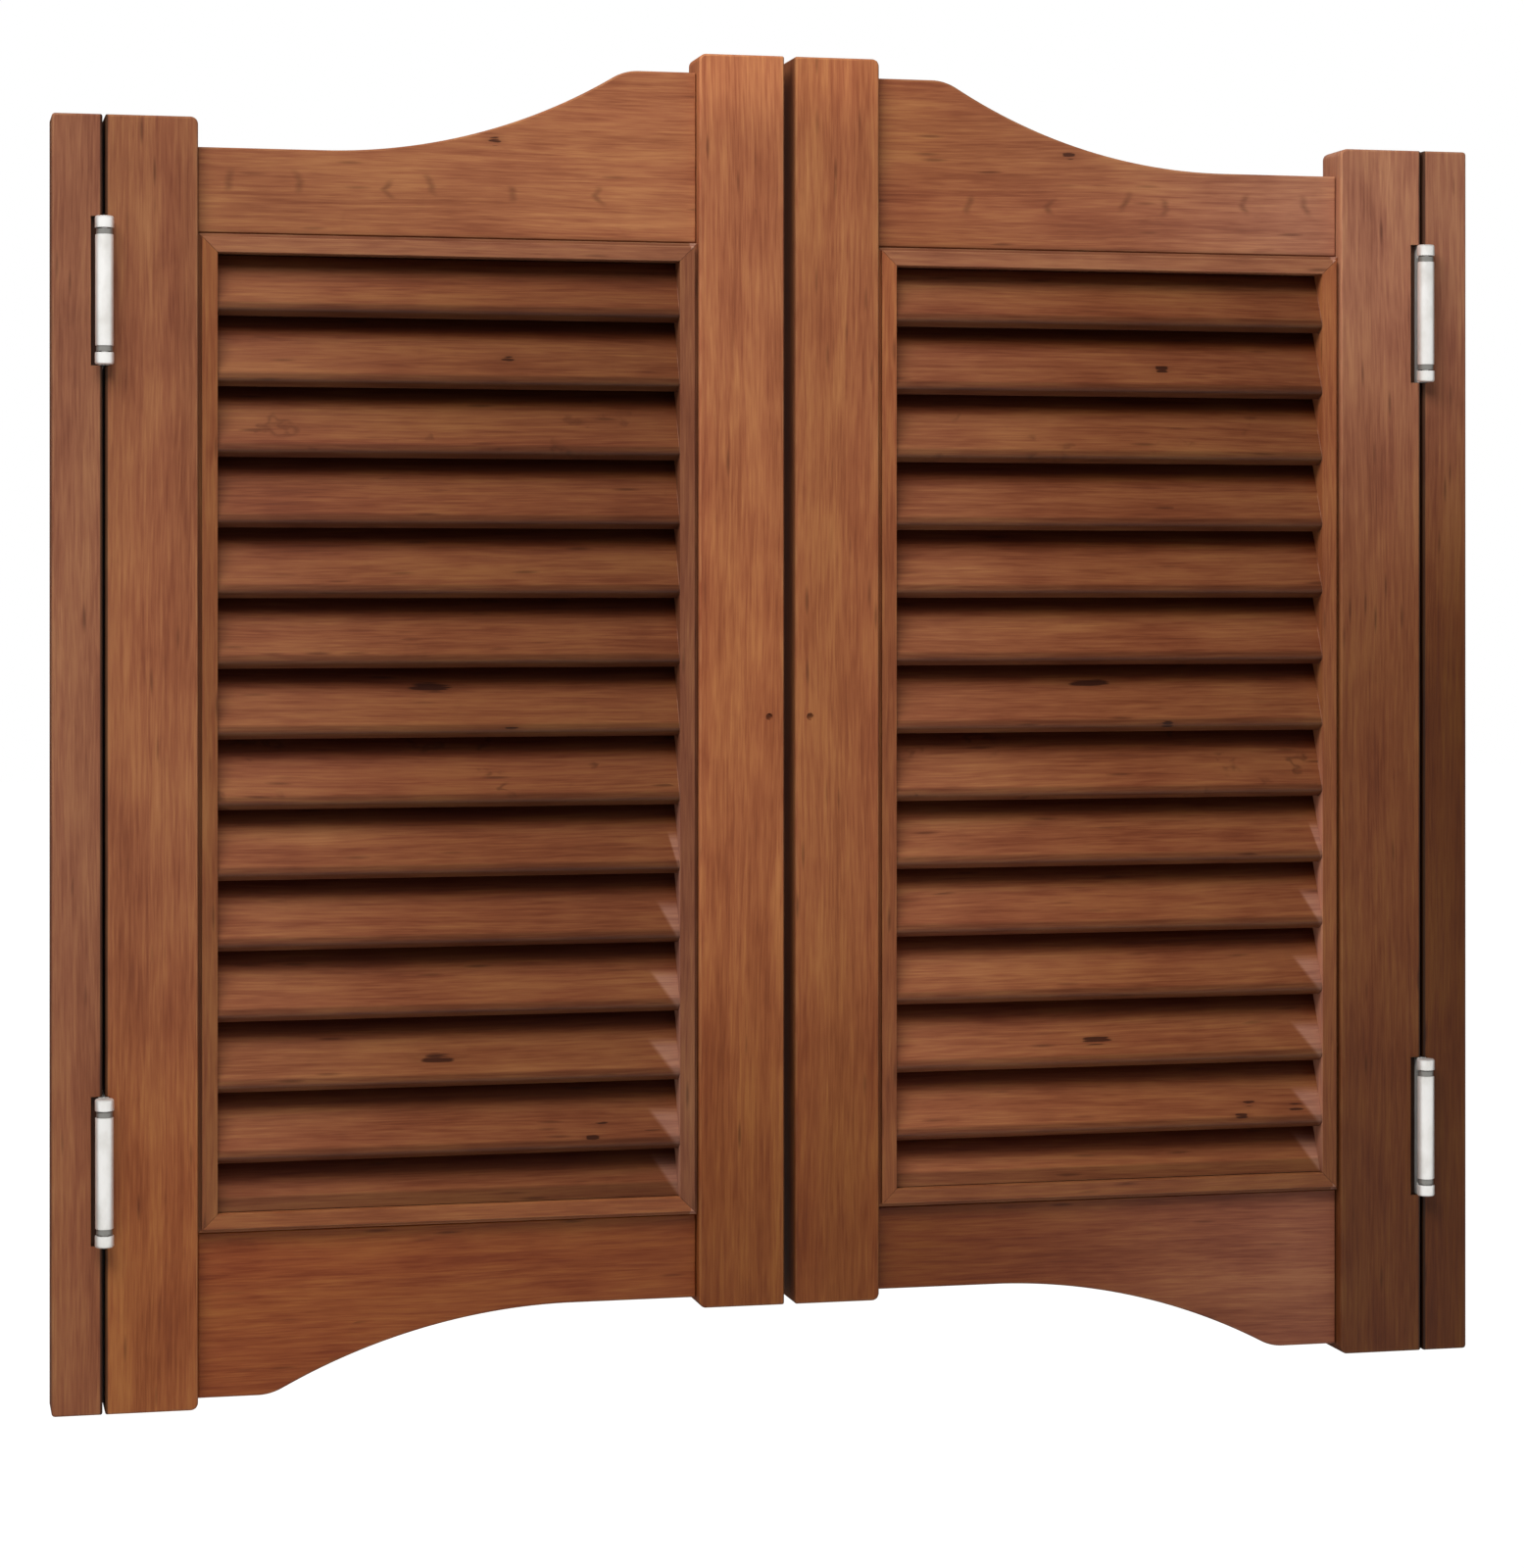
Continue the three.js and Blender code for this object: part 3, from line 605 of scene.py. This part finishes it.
def roundEdges(built, edges, width, steps):
    return bmesh.ops.bevel(
        built, geom=edges, offset=width, offset_type="OFFSET", segments=steps,
        profile=0.5, affect="EDGES", clamp_overlap=True,
    )["faces"]


def roundOver(timber, width, spec):
    sharp = math.radians(spec["sharp"])
    arrises = [edge for edge in timber.edges
               if edge.is_convex and edge.calc_face_angle(0) > sharp and not onMitre(edge, spec)]
    # the rounded arrises carry wear and a painted highlight
    wearAndHighlightLayer = timber.loops.layers.float.new("edgeWearAndHighlight")
    markFaces(wearAndHighlightLayer, roundEdges(timber, arrises, width, spec["steps"]))


# painted shade: the faces inside the hinge mortises are as dark as the joints
def shadeMortises(timber, node, spec):
    low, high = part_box(node)
    recessShade = timber.loops.layers.float.new("recessShade")

    def inMortise(face):
        middle = face.calc_center_median()
        return min(*(middle - low), *(high - middle)) > spec["recess"]

    markFaces(recessShade, filter(inMortise, timber.faces))


# painted light: the inner faces of the louvre sides between the slats are made paler
def paintLightInside(timber, node, spec):
    doorMiddle = middleOf(node.split("_")[0] + "_louver_head")
    inward = math.copysign(1.0, doorMiddle.x - middleOf(node).x)
    pale = timber.loops.layers.float.new("pale")
    markFaces(pale, [face for face in timber.faces if face.normal.x * inward > spec["square"]])


# painted shade in the quirk round the louvre
def shadeGroove(timber, node, spec):
    low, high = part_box(node)
    recessShade = timber.loops.layers.float.new("recessShade")

    def inGroove(face):
        depth = face.calc_center_median().y
        return abs(face.normal.y) > spec["square"] and min(depth - low.y, high.y - depth) > spec["quirk"]

    markFaces(recessShade, filter(inGroove, timber.faces), spec["grooveShade"][node])


def asMesh(built, name):
    mesh = bpy.data.meshes.new(name)
    built.to_mesh(mesh)
    built.free()
    return mesh


def showPiece(name, built, body, material, smooth):
    mesh = asMesh(built, name)
    mesh.shade_smooth()
    mesh.set_sharp_from_angle(angle=math.radians(smooth))
    mesh.materials.append(material)
    shown = bpy.data.objects.new(name, mesh)
    bpy.context.scene.collection.objects.link(shown)
    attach(shown, body)
    return shown


def setNumbers(shown, name, labels, values):
    for label, value in zip(labels, values):
        shown[name + label] = value


def setGraded(shown, name, values):
    head, middle, foot = values
    setNumbers(shown, name, ("", "AtHead", "AtFoot"), (middle, head - middle, foot - middle))


# places of the curls and knots, which the right-hand rail has the other way round
def setMarks(shown, node, spec):
    kind = node.split("_", 1)[1]
    shown["curl"] = spec["curl"].get(kind, spec["plainCurl"])
    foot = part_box(node)[0].z
    middle = middleOf(node).x
    knots = [(x + middle, z + foot, length, height)
             for x, z, length, height in spec["knots"].get(kind, [])]
    if kind == "top_rail":
        way = 1 if middle < 0 else -1
        x, z, length, height = spec["railKnot"]
        knots.append((way * x + middle, z + foot, length, height))
        for curl, (x, z, bend, slant, reach) in zip(curlNames, spec["railCurls"]):
            values = (way * x + middle, z + foot, way * bend, way * slant, reach)
            setNumbers(shown, curl, ("X", "Z", "Bend", "Slant", "Reach"), values)
    knots += [spec["noKnot"]] * (len(knotNames) - len(knots))
    for knot, values in zip(knotNames, knots):
        setNumbers(shown, knot, ("X", "Z", "Length", "Height"), values)


def boardTone(node, spec):
    if slotOf[node] != "slat_wood":
        return spec["tone"][node]
    side, kind = node.split("_", 1)
    first, last = spec["slatTone"]
    share = (int(kind[-2:]) - 1) / (slatCount - 1)
    return [end * (first + share * (last - first)) for end in spec["slatEnds"][side]]


def setStain(shown, node, spec, draw):
    slot = slotOf[node]
    isSlat = slot == "slat_wood"
    shown["grainShift"] = draw.uniform(0.0, 1.0)
    spread = 1 + draw.uniform(-1, 1) * spec["toneSpread"]
    setGraded(shown, "tone", [spread * tone for tone in boardTone(node, spec)])
    common = spec["slatSaturation"] if isSlat else spec["plainSaturation"]
    setGraded(shown, "saturation", spec["saturation"].get(node, common))
    shown["hue"] = spec["hue"].get(node, spec["hue"].get(slot, spec["plainHue"]))
    low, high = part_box(node)
    shown["middle"] = (low.x + high.x) / 2
    shown["halfLength"] = (high.x - low.x) / 2
    shown["foot"] = low.z
    shown["slat"] = 1.0 if isSlat else 0.0
    shown["shownEnd"] = high.x - spec["housed"]
    shown["reflectionWidth"] = spec["reflectionWidth"].get(node.split("_", 1)[1], spec["noReflection"])
    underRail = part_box(node.split("_")[0] + "_top_rail")[0].z
    shown["joint"] = underRail if node.endswith(("top_rail", "louver_head")) else farBelow


def woodOf(node):
    if node.endswith("top_rail"):
        return curledWood
    crosswise = slotOf[node] in ("rail_wood", "slat_wood") or node.endswith(("head", "sill"))
    return crosswiseWood if crosswise else uprightWood


def roundedTimber(node, spec, draw):
    slot = slotOf[node]
    timber = bareCopy(node, spec)
    roundOver(timber, spec["rounding"][slot], spec)
    if node.endswith(("jamb", "hinge_stile")):
        shadeMortises(timber, node, spec)
    if node.endswith(("louver_hinge_side", "louver_meeting_side")):
        paintLightInside(timber, node, spec)
    if node in spec["grooveShade"]:
        shadeGroove(timber, node, spec)
    shown = showPiece(node + "_timber", timber, bodyOf[node], woodOf(node), spec["smooth"])
    setStain(shown, node, spec, draw)
    setMarks(shown, node, spec)
    flatter = shown.modifiers.new("flatFaces", "WEIGHTED_NORMAL")
    flatter.keep_sharp = True
    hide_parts(node)
    return shown


draw = random.Random(timberSpec["seed"])
timbers = {}
for node in sorted(slotOf):
    if slotOf[node] in timberSpec["rounding"]:
        timbers[node] = roundedTimber(node, timberSpec, draw)
print("timber rounded over,", len(timbers), "pieces")


# satin nickel
nickelLook = {
    "pale": "f8f6f2",
    "dull": "e9e6e0",
    # painted shade in the waists of the tubes
    "ringShade": "8b8984",
    "brushing": (2600.0, 60.0, 3.0, 0.6),  # noises, as for the wood
    "tarnish": (90.0, 60.0, 3.0),
    "tarnished": (0.42, 0.72),
    "brushShare": 0.7,  # of the roughness, the rest is tarnish
    "metallic": 0.6,
    "roughStreaks": (0.3, 0.7),
    "roughness": (0.36, 0.48),
    "bump": 0.08,
    "bumpDepth": 0.05 * mm,
}


def satinNickel(look):
    material, tree = newMaterial("satin_nickel")
    place = wire(tree, "TexCoord").outputs["Object"]
    brushing = stretchedNoise(tree, place, *look["brushing"])
    tarnish = stretchedNoise(tree, place, *look["tarnish"])
    colour = blendColour(tree, remap(tree, tarnish, *look["tarnished"]), hexColour(look["pale"]),
                         hexColour(look["dull"]))
    # painted shade in the waists
    colour = blendColour(tree, faceNumber(tree, "ringShade"), colour, hexColour(look["ringShade"]))
    rough = maths(tree, "MULTIPLY", tarnish, 1 - look["brushShare"])
    rough = maths(tree, "MULTIPLY_ADD", brushing, look["brushShare"], rough)
    bump = wire(tree, "Bump", {"Height": brushing, "Strength": look["bump"], "Distance": look["bumpDepth"]})
    surface = wire(tree, "BsdfPrincipled", {
        "Base Color": colour,
        "Metallic": look["metallic"],
        "Roughness": remap(tree, rough, *look["roughStreaks"], *look["roughness"]),
        "Normal": bump.outputs[0],
    })
    wire(tree, "OutputMaterial", {"Surface": surface.outputs[0]})
    return material


nickel = satinNickel(nickelLook)


# double-action spring hinges, each drawn about its own middle with the jamb leaf on the left
hingeSpec = {
    "collarLength": 8.0 * mm,
    "collarRound": 0.5 * mm,
    "crown": 1.5 * mm,
    "crownSteps": 5,
    "runningGap": 0.7 * mm,
    "waistLength": 3.6 * mm,
    "waistDepth": 0.6 * mm,
    "shoulderRound": 0.4 * mm,
    "tubeSlimmer": 0.25 * mm,
    "pinRadius": 2.5 * mm,
    "webThickness": 2.0 * mm,
    "webClearance": 0.3 * mm,
    "webSetback": 0.7 * mm,  # from the barrels
    "leafSetback": 0.5 * mm,
    "leafThickness": 2.0 * mm,
    "neckOverlap": 2.0 * mm,
    "edge": 0.25 * mm,
    "edgeSteps": 2,
    "sides": 48,
    "smooth": 30.0,
    "screwHeights": (-0.34, 0.0, 0.34),  # shares of the hinge's length
    "screwDepths": (-9.0 * mm, 8.0 * mm, -9.0 * mm),
}

screwSpec = {
    "headRadius": 3.4 * mm,
    "headSink": 1.4 * mm,
    "dome": 0.22 * mm,
    "shank": 0.55,  # share of the head's radius
    "domeCurve": [(0.97, 0.4), (0.75, 0.8)],  # shares of the radius and of the dome's height
    "slotWidth": 0.8 * mm,
    "slotDepth": 0.7 * mm,
    "slotRound": 0.1 * mm,
    "sides": 32,
}


def turned(built, profile, centre, sides):
    rings = []
    for radius, height in profile:
        count = sides if radius > 0 else 1
        angles = [2 * math.pi * i / count for i in range(count)]
        points = [centre + Vector((radius * math.cos(a), radius * math.sin(a), height)) for a in angles]
        rings.append([built.verts.new(point) for point in points])
    for lower, upper in zip(rings, rings[1:]):
        for i in range(sides):
            j = (i + 1) % sides
            if len(lower) == 1:
                built.faces.new((lower[0], upper[j], upper[i]))
            elif len(upper) == 1:
                built.faces.new((lower[i], lower[j], upper[0]))
            else:
                built.faces.new((lower[i], lower[j], upper[j], upper[i]))


def addMesh(built, part, place):
    mesh = asMesh(part, "part")
    mesh.transform(place)
    built.from_mesh(mesh)
    bpy.data.meshes.remove(mesh)


def addBlock(built, low, high, edge, steps):
    low, high = Vector(low), Vector(high)
    block = bmesh.new()
    bmesh.ops.create_cube(block, size=1.0)
    for corner in block.verts:
        corner.co = (low + high) / 2 + corner.co * (high - low)
    roundEdges(block, block.edges[:], edge, steps)
    addMesh(built, block, Matrix())


# takes a drilled or sawn shape out of a mesh, as a new mesh
def cutAway(mesh, tool):
    objects = [bpy.data.objects.new("cut", mesh), bpy.data.objects.new("tool", tool)]
    for part in objects:
        bpy.context.scene.collection.objects.link(part)
    cut = objects[0].modifiers.new("cut", "BOOLEAN")
    cut.operation = "DIFFERENCE"
    cut.object = objects[1]
    cut.solver = "EXACT"
    graph = bpy.context.evaluated_depsgraph_get()
    result = bpy.data.meshes.new_from_object(objects[0].evaluated_get(graph))
    for part in objects:
        bpy.data.objects.remove(part)
    return result


# countersunk wood screw head, looking along +Z, its rim level with Z = 0
def screwHead(spec):
    radius, dome, sink = spec["headRadius"], spec["dome"], spec["headSink"]
    built = bmesh.new()
    curve = [(radius * out, dome * up) for out, up in spec["domeCurve"]]
    profile = [(0, -sink), (radius * spec["shank"], -sink), (radius, 0)] + curve + [(0, dome)]
    turned(built, profile, Vector(), spec["sides"])
    saw = bmesh.new()
    half = spec["slotWidth"] / 2
    low, high = (-2 * radius, -half, dome - spec["slotDepth"]), (2 * radius, half, 2 * dome)
    addBlock(saw, low, high, spec["slotRound"], hingeSpec["edgeSteps"])
    return cutAway(asMesh(built, "screw_head"), asMesh(saw, "saw"))


screw = screwHead(screwSpec)


def addScrews(built, places, turn, draw):
    for place in places:
        whole = bmesh.new()
        whole.from_mesh(screw)
        spin = Matrix.Rotation(draw.uniform(0, math.pi), 4, "Z")
        addMesh(built, whole, Matrix.Translation(place) @ turn @ spin)


def hingeSizes(web, spec):
    low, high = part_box(web)
    half = (high.z - low.z) / 2
    radius = (high.x - low.x) / 2
    offset = (high.y - low.y) / 2 - radius
    return {
        "half": half,
        "radius": radius,
        "offset": offset,
        "face": offset - radius,
        "step": half - spec["collarLength"],
        "leafFace": spec["webThickness"] / 2 + spec["webClearance"],
    }


# painted shade: the slim waists at the ends of a tube are a darker grey
def shadeRings(built, offset, waist, shoulder):
    slack = 0.05 * mm
    ringShade = built.loops.layers.float.new("ringShade")

    def onWaist(face):
        middle = face.calc_center_median()
        offAxis = math.hypot(middle.x, middle.y + offset)
        return offAxis < waist + slack and abs(middle.z) > shoulder - slack

    markFaces(ringShade, filter(onWaist, built.faces))


def mirroredProfile(upper):
    return [(radius, -height) for radius, height in reversed(upper)] + upper


# leaf let into the jamb, with the tube of the front barrel rolled out of it
def leafPiece(spec, sizes, draw):
    built = bmesh.new()
    left, right = -sizes["leafFace"] - spec["leafThickness"], -sizes["leafFace"]
    half, offset = sizes["half"], sizes["offset"]
    depth = sizes["face"] - spec["leafSetback"]
    tubeHalf = sizes["step"] - spec["runningGap"]
    neckEnd = spec["neckOverlap"] - depth
    addBlock(built, (left, -depth, -half), (right, depth, half), spec["edge"], spec["edgeSteps"])
    addBlock(built, (left, -offset, -tubeHalf), (right, neckEnd, tubeHalf), spec["edge"], spec["edgeSteps"])

    tube = sizes["radius"] - spec["tubeSlimmer"]
    waist = tube - spec["waistDepth"]
    shoulder = tubeHalf - spec["waistLength"]
    fillet = spec["shoulderRound"]
    # the shoulder's fillet is two flats
    upper = [(tube, shoulder - fillet), (tube - 0.3 * fillet, shoulder - 0.3 * fillet),
             (tube - fillet, shoulder), (waist, shoulder), (waist, tubeHalf), (0, tubeHalf)]
    turned(built, mirroredProfile(upper), Vector((0, -offset, 0)), spec["sides"])
    shadeRings(built, offset, waist, shoulder)
    places = [Vector((right, inset, 2 * half * share))
              for share, inset in zip(spec["screwHeights"], spec["screwDepths"])]
    addScrews(built, places, Matrix.Rotation(math.radians(90), 4, "Y"), draw)
    return built


# plate between the barrels with its four crowned collars and two pins
def webPiece(spec, sizes):
    built = bmesh.new()
    thick = spec["webThickness"] / 2
    half, step, offset = sizes["half"], sizes["step"], sizes["offset"]
    radius, crown, fillet = sizes["radius"], spec["crown"], spec["collarRound"]
    reach = sizes["face"] - spec["webSetback"]
    addBlock(built, (-thick, -reach, -half), (thick, reach, half), spec["edge"], spec["edgeSteps"])
    for low, high in ((step, half - crown), (crown - half, -step)):
        addBlock(built, (-thick, -offset, low), (thick, offset, high), spec["edge"], spec["edgeSteps"])

    turns = [math.radians(90 * i / spec["crownSteps"]) for i in range(spec["crownSteps"] + 1)]
    crownCurve = [(radius - crown * (1 - math.cos(a)), half - crown * (1 - math.sin(a))) for a in turns]
    foot = [(spec["pinRadius"], step), (radius - fillet, step),
            (radius - 0.24 * fillet, step + 0.3 * fillet), (radius, step + fillet)]
    profile = mirroredProfile(foot + crownCurve + [(0, half)])
    for side in (-1, 1):
        turned(built, profile, Vector((0, side * offset, 0)), spec["sides"])
    return built


# the right-hand hinges are the left-hand ones turned half round
def hingePieces(side, level, spec, draw):
    half = Matrix.Rotation(math.pi, 4, "Z")
    turns = {"left": {"jamb_leaf": Matrix(), "web": Matrix(), "door_leaf": half},
             "right": {"jamb_leaf": half, "web": half, "door_leaf": Matrix()}}[side]
    web = f"{side}_{level}_web"
    sizes = hingeSizes(web, spec)
    for kind, turn in turns.items():
        node = f"{side}_{level}_{kind}"
        built = webPiece(spec, sizes) if kind == "web" else leafPiece(spec, sizes, draw)
        built.transform(Matrix.Translation(middleOf(web)) @ turn)
        shown = showPiece(node + "_nickel", built, bodyOf[node], nickel, spec["smooth"])
        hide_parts(node)


for side in ("left", "right"):
    for level in ("upper", "lower"):
        hingePieces(side, level, hingeSpec, draw)
print("hinges made")


# pilot holes drilled for a pull on each meeting stile
pilotSpec = {
    "radius": 2.5 * mm,
    "depth": 2.4 * mm,
    "tip": 0.7,  # share of the radius where the drill's point begins
    "tipDepth": 0.3 * mm,
    "sides": 24,
    # painted shade inside the hole
    "recessShade": 0.3,
    "fromEdge": 10.7 * mm,
    "height": 405.0 * mm,  # above the foot of the stile
}


def drillPilotHole(node, spec):
    low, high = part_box(node)
    x = high.x - spec["fromEdge"] if high.x < 0 else low.x + spec["fromEdge"]
    z = low.z + spec["height"]
    radius, depth, slack = spec["radius"], spec["depth"], 0.02 * mm
    drill = bmesh.new()
    profile = [(0, 0), (spec["tip"] * radius, spec["tipDepth"]), (radius, depth), (radius, 2 * depth),
               (0, 2 * depth)]
    turned(drill, profile, Vector(), spec["sides"])
    drill.transform(Matrix.Rotation(math.radians(90), 4, "X"))
    drill.transform(Matrix.Translation((x, low.y + depth, z)))
    drilled = cutAway(timbers[node].data, asMesh(drill, "drill"))
    bored = bmesh.new()
    bored.from_mesh(drilled)
    # painted shade inside the hole
    recessShade = bored.loops.layers.float.new("recessShade")

    def inHole(face):
        middle = face.calc_center_median()
        return math.hypot(middle.x - x, middle.z - z) < radius + slack and middle.y > low.y + slack

    markFaces(recessShade, filter(inHole, bored.faces), spec["recessShade"])
    bored.to_mesh(drilled)
    bored.free()
    drilled.set_sharp_from_angle(angle=math.radians(timberSpec["smooth"]))
    timbers[node].data = drilled


for side in ("left", "right"):
    drillPilotHole(f"{side}_meeting_stile", pilotSpec)
print("pilot holes drilled")


# floor below the hanging doors, and studio light
stageSpec = {
    "floorDrop": 0.30,
    "floorReach": 14.0,
    "glow": 0.965,
    "shade": 0.15,
    "shadowReach": (1.2, 3.0),  # metres from the middle over which the floor turns plain white
    "bounce": 0.8,  # how much of the light the floor gives back to the doors
    "ambient": 0.07,
    "backFloor": (-0.5, 0.2),  # depths between which reflections lose the floor
    "behind": 0.05,  # how bright reflections find the room behind the doors
    "behindTurn": (-0.2, 0.3),
    "above": 0.25,  # and the ceiling
    "aboveTurn": (0.35, 0.60),
    "aim": (0.0, 0.0, 0.45),
    "lamps": {
        "key": {"position": (-0.80, -1.2, 2.2), "size": (1.8, 1.1), "watts": 63.0},
        "back": {"position": (0.6, 1.7, 1.7), "size": (1.6, 1.2), "watts": 30.0},
    },
}


def grey(level):
    return (level, level, level, 1.0)


def seenDirectly(tree, path):
    return maths(tree, "MAXIMUM", path["Is Camera Ray"], path["Is Transmission Ray"])


def floorMaterial(spec):
    material, tree = newMaterial("pale_floor")
    path = wire(tree, "LightPath").outputs
    place = wire(tree, "TexCoord").outputs["Object"]
    away = wire(tree, "VectorMath", {0: place}, operation="LENGTH").outputs["Value"]
    strength = remap(tree, away, *spec["shadowReach"], spec["glow"], 1.0)
    hidden = remap(tree, partsOf(tree, place)["Y"], *spec["backFloor"])
    hidden = maths(tree, "MULTIPLY", path["Is Glossy Ray"], hidden)
    strength = maths(tree, "MULTIPLY", strength, maths(tree, "SUBTRACT", 1.0, hidden))
    glow = wire(tree, "Emission", {"Color": grey(1.0), "Strength": strength})
    shade = wire(tree, "BsdfDiffuse", {"Color": grey(spec["shade"])})
    lit = wire(tree, "AddShader", {0: glow.outputs[0], 1: shade.outputs[0]})
    plain = wire(tree, "BsdfDiffuse", {"Color": grey(spec["bounce"])})
    seen = maths(tree, "MAXIMUM", seenDirectly(tree, path), path["Is Glossy Ray"])
    mixed = wire(tree, "MixShader", {0: seen, 1: plain.outputs[0], 2: lit.outputs[0]})
    wire(tree, "OutputMaterial", {"Surface": mixed.outputs[0]})
    return material


def paleFloor(spec):
    built = bmesh.new()
    bmesh.ops.create_grid(built, x_segments=1, y_segments=1, size=spec["floorReach"])
    mesh = asMesh(built, "floor")
    mesh.materials.append(floorMaterial(spec))
    floor = bpy.data.objects.new("floor", mesh)
    floor.location = (0, 0, -spec["floorDrop"])
    bpy.context.scene.collection.objects.link(floor)


def whiteWorld(spec):
    world = bpy.data.worlds.new("studio")
    world.use_nodes = True
    tree = world.node_tree
    tree.nodes.clear()
    path = wire(tree, "LightPath").outputs
    heading = partsOf(tree, wire(tree, "TexCoord").outputs["Generated"])
    mirrored = remap(tree, heading["Y"], *spec["behindTurn"], 1.0, spec["behind"], smooth=True)
    ceiling = remap(tree, heading["Z"], *spec["aboveTurn"], 1.0, spec["above"], smooth=True)
    mirrored = maths(tree, "MULTIPLY", mirrored, ceiling)
    mirrored = maths(tree, "MULTIPLY", mirrored, path["Is Glossy Ray"])
    dull = maths(tree, "SUBTRACT", 1.0, path["Is Glossy Ray"])
    unseen = maths(tree, "MULTIPLY", dull, spec["ambient"])
    strength = maths(tree, "MAXIMUM", maths(tree, "MAXIMUM", seenDirectly(tree, path), mirrored), unseen)
    sky = wire(tree, "Background", {"Color": grey(1.0), "Strength": strength})
    wire(tree, "OutputWorld", {"Surface": sky.outputs[0]})
    bpy.context.scene.world = world


def softbox(name, position, aim, size, watts):
    light = bpy.data.lights.new(name, "AREA")
    light.shape = "RECTANGLE"
    light.size, light.size_y = size
    light.energy = watts
    lamp = bpy.data.objects.new(name, light)
    lamp.location = position
    lamp.rotation_euler = (Vector(aim) - Vector(position)).to_track_quat("-Z", "Y").to_euler()
    lamp.visible_glossy = False
    bpy.context.scene.collection.objects.link(lamp)


paleFloor(stageSpec)
whiteWorld(stageSpec)
for name, lamp in stageSpec["lamps"].items():
    softbox(name, lamp["position"], stageSpec["aim"], lamp["size"], lamp["watts"])
print("stage lit")
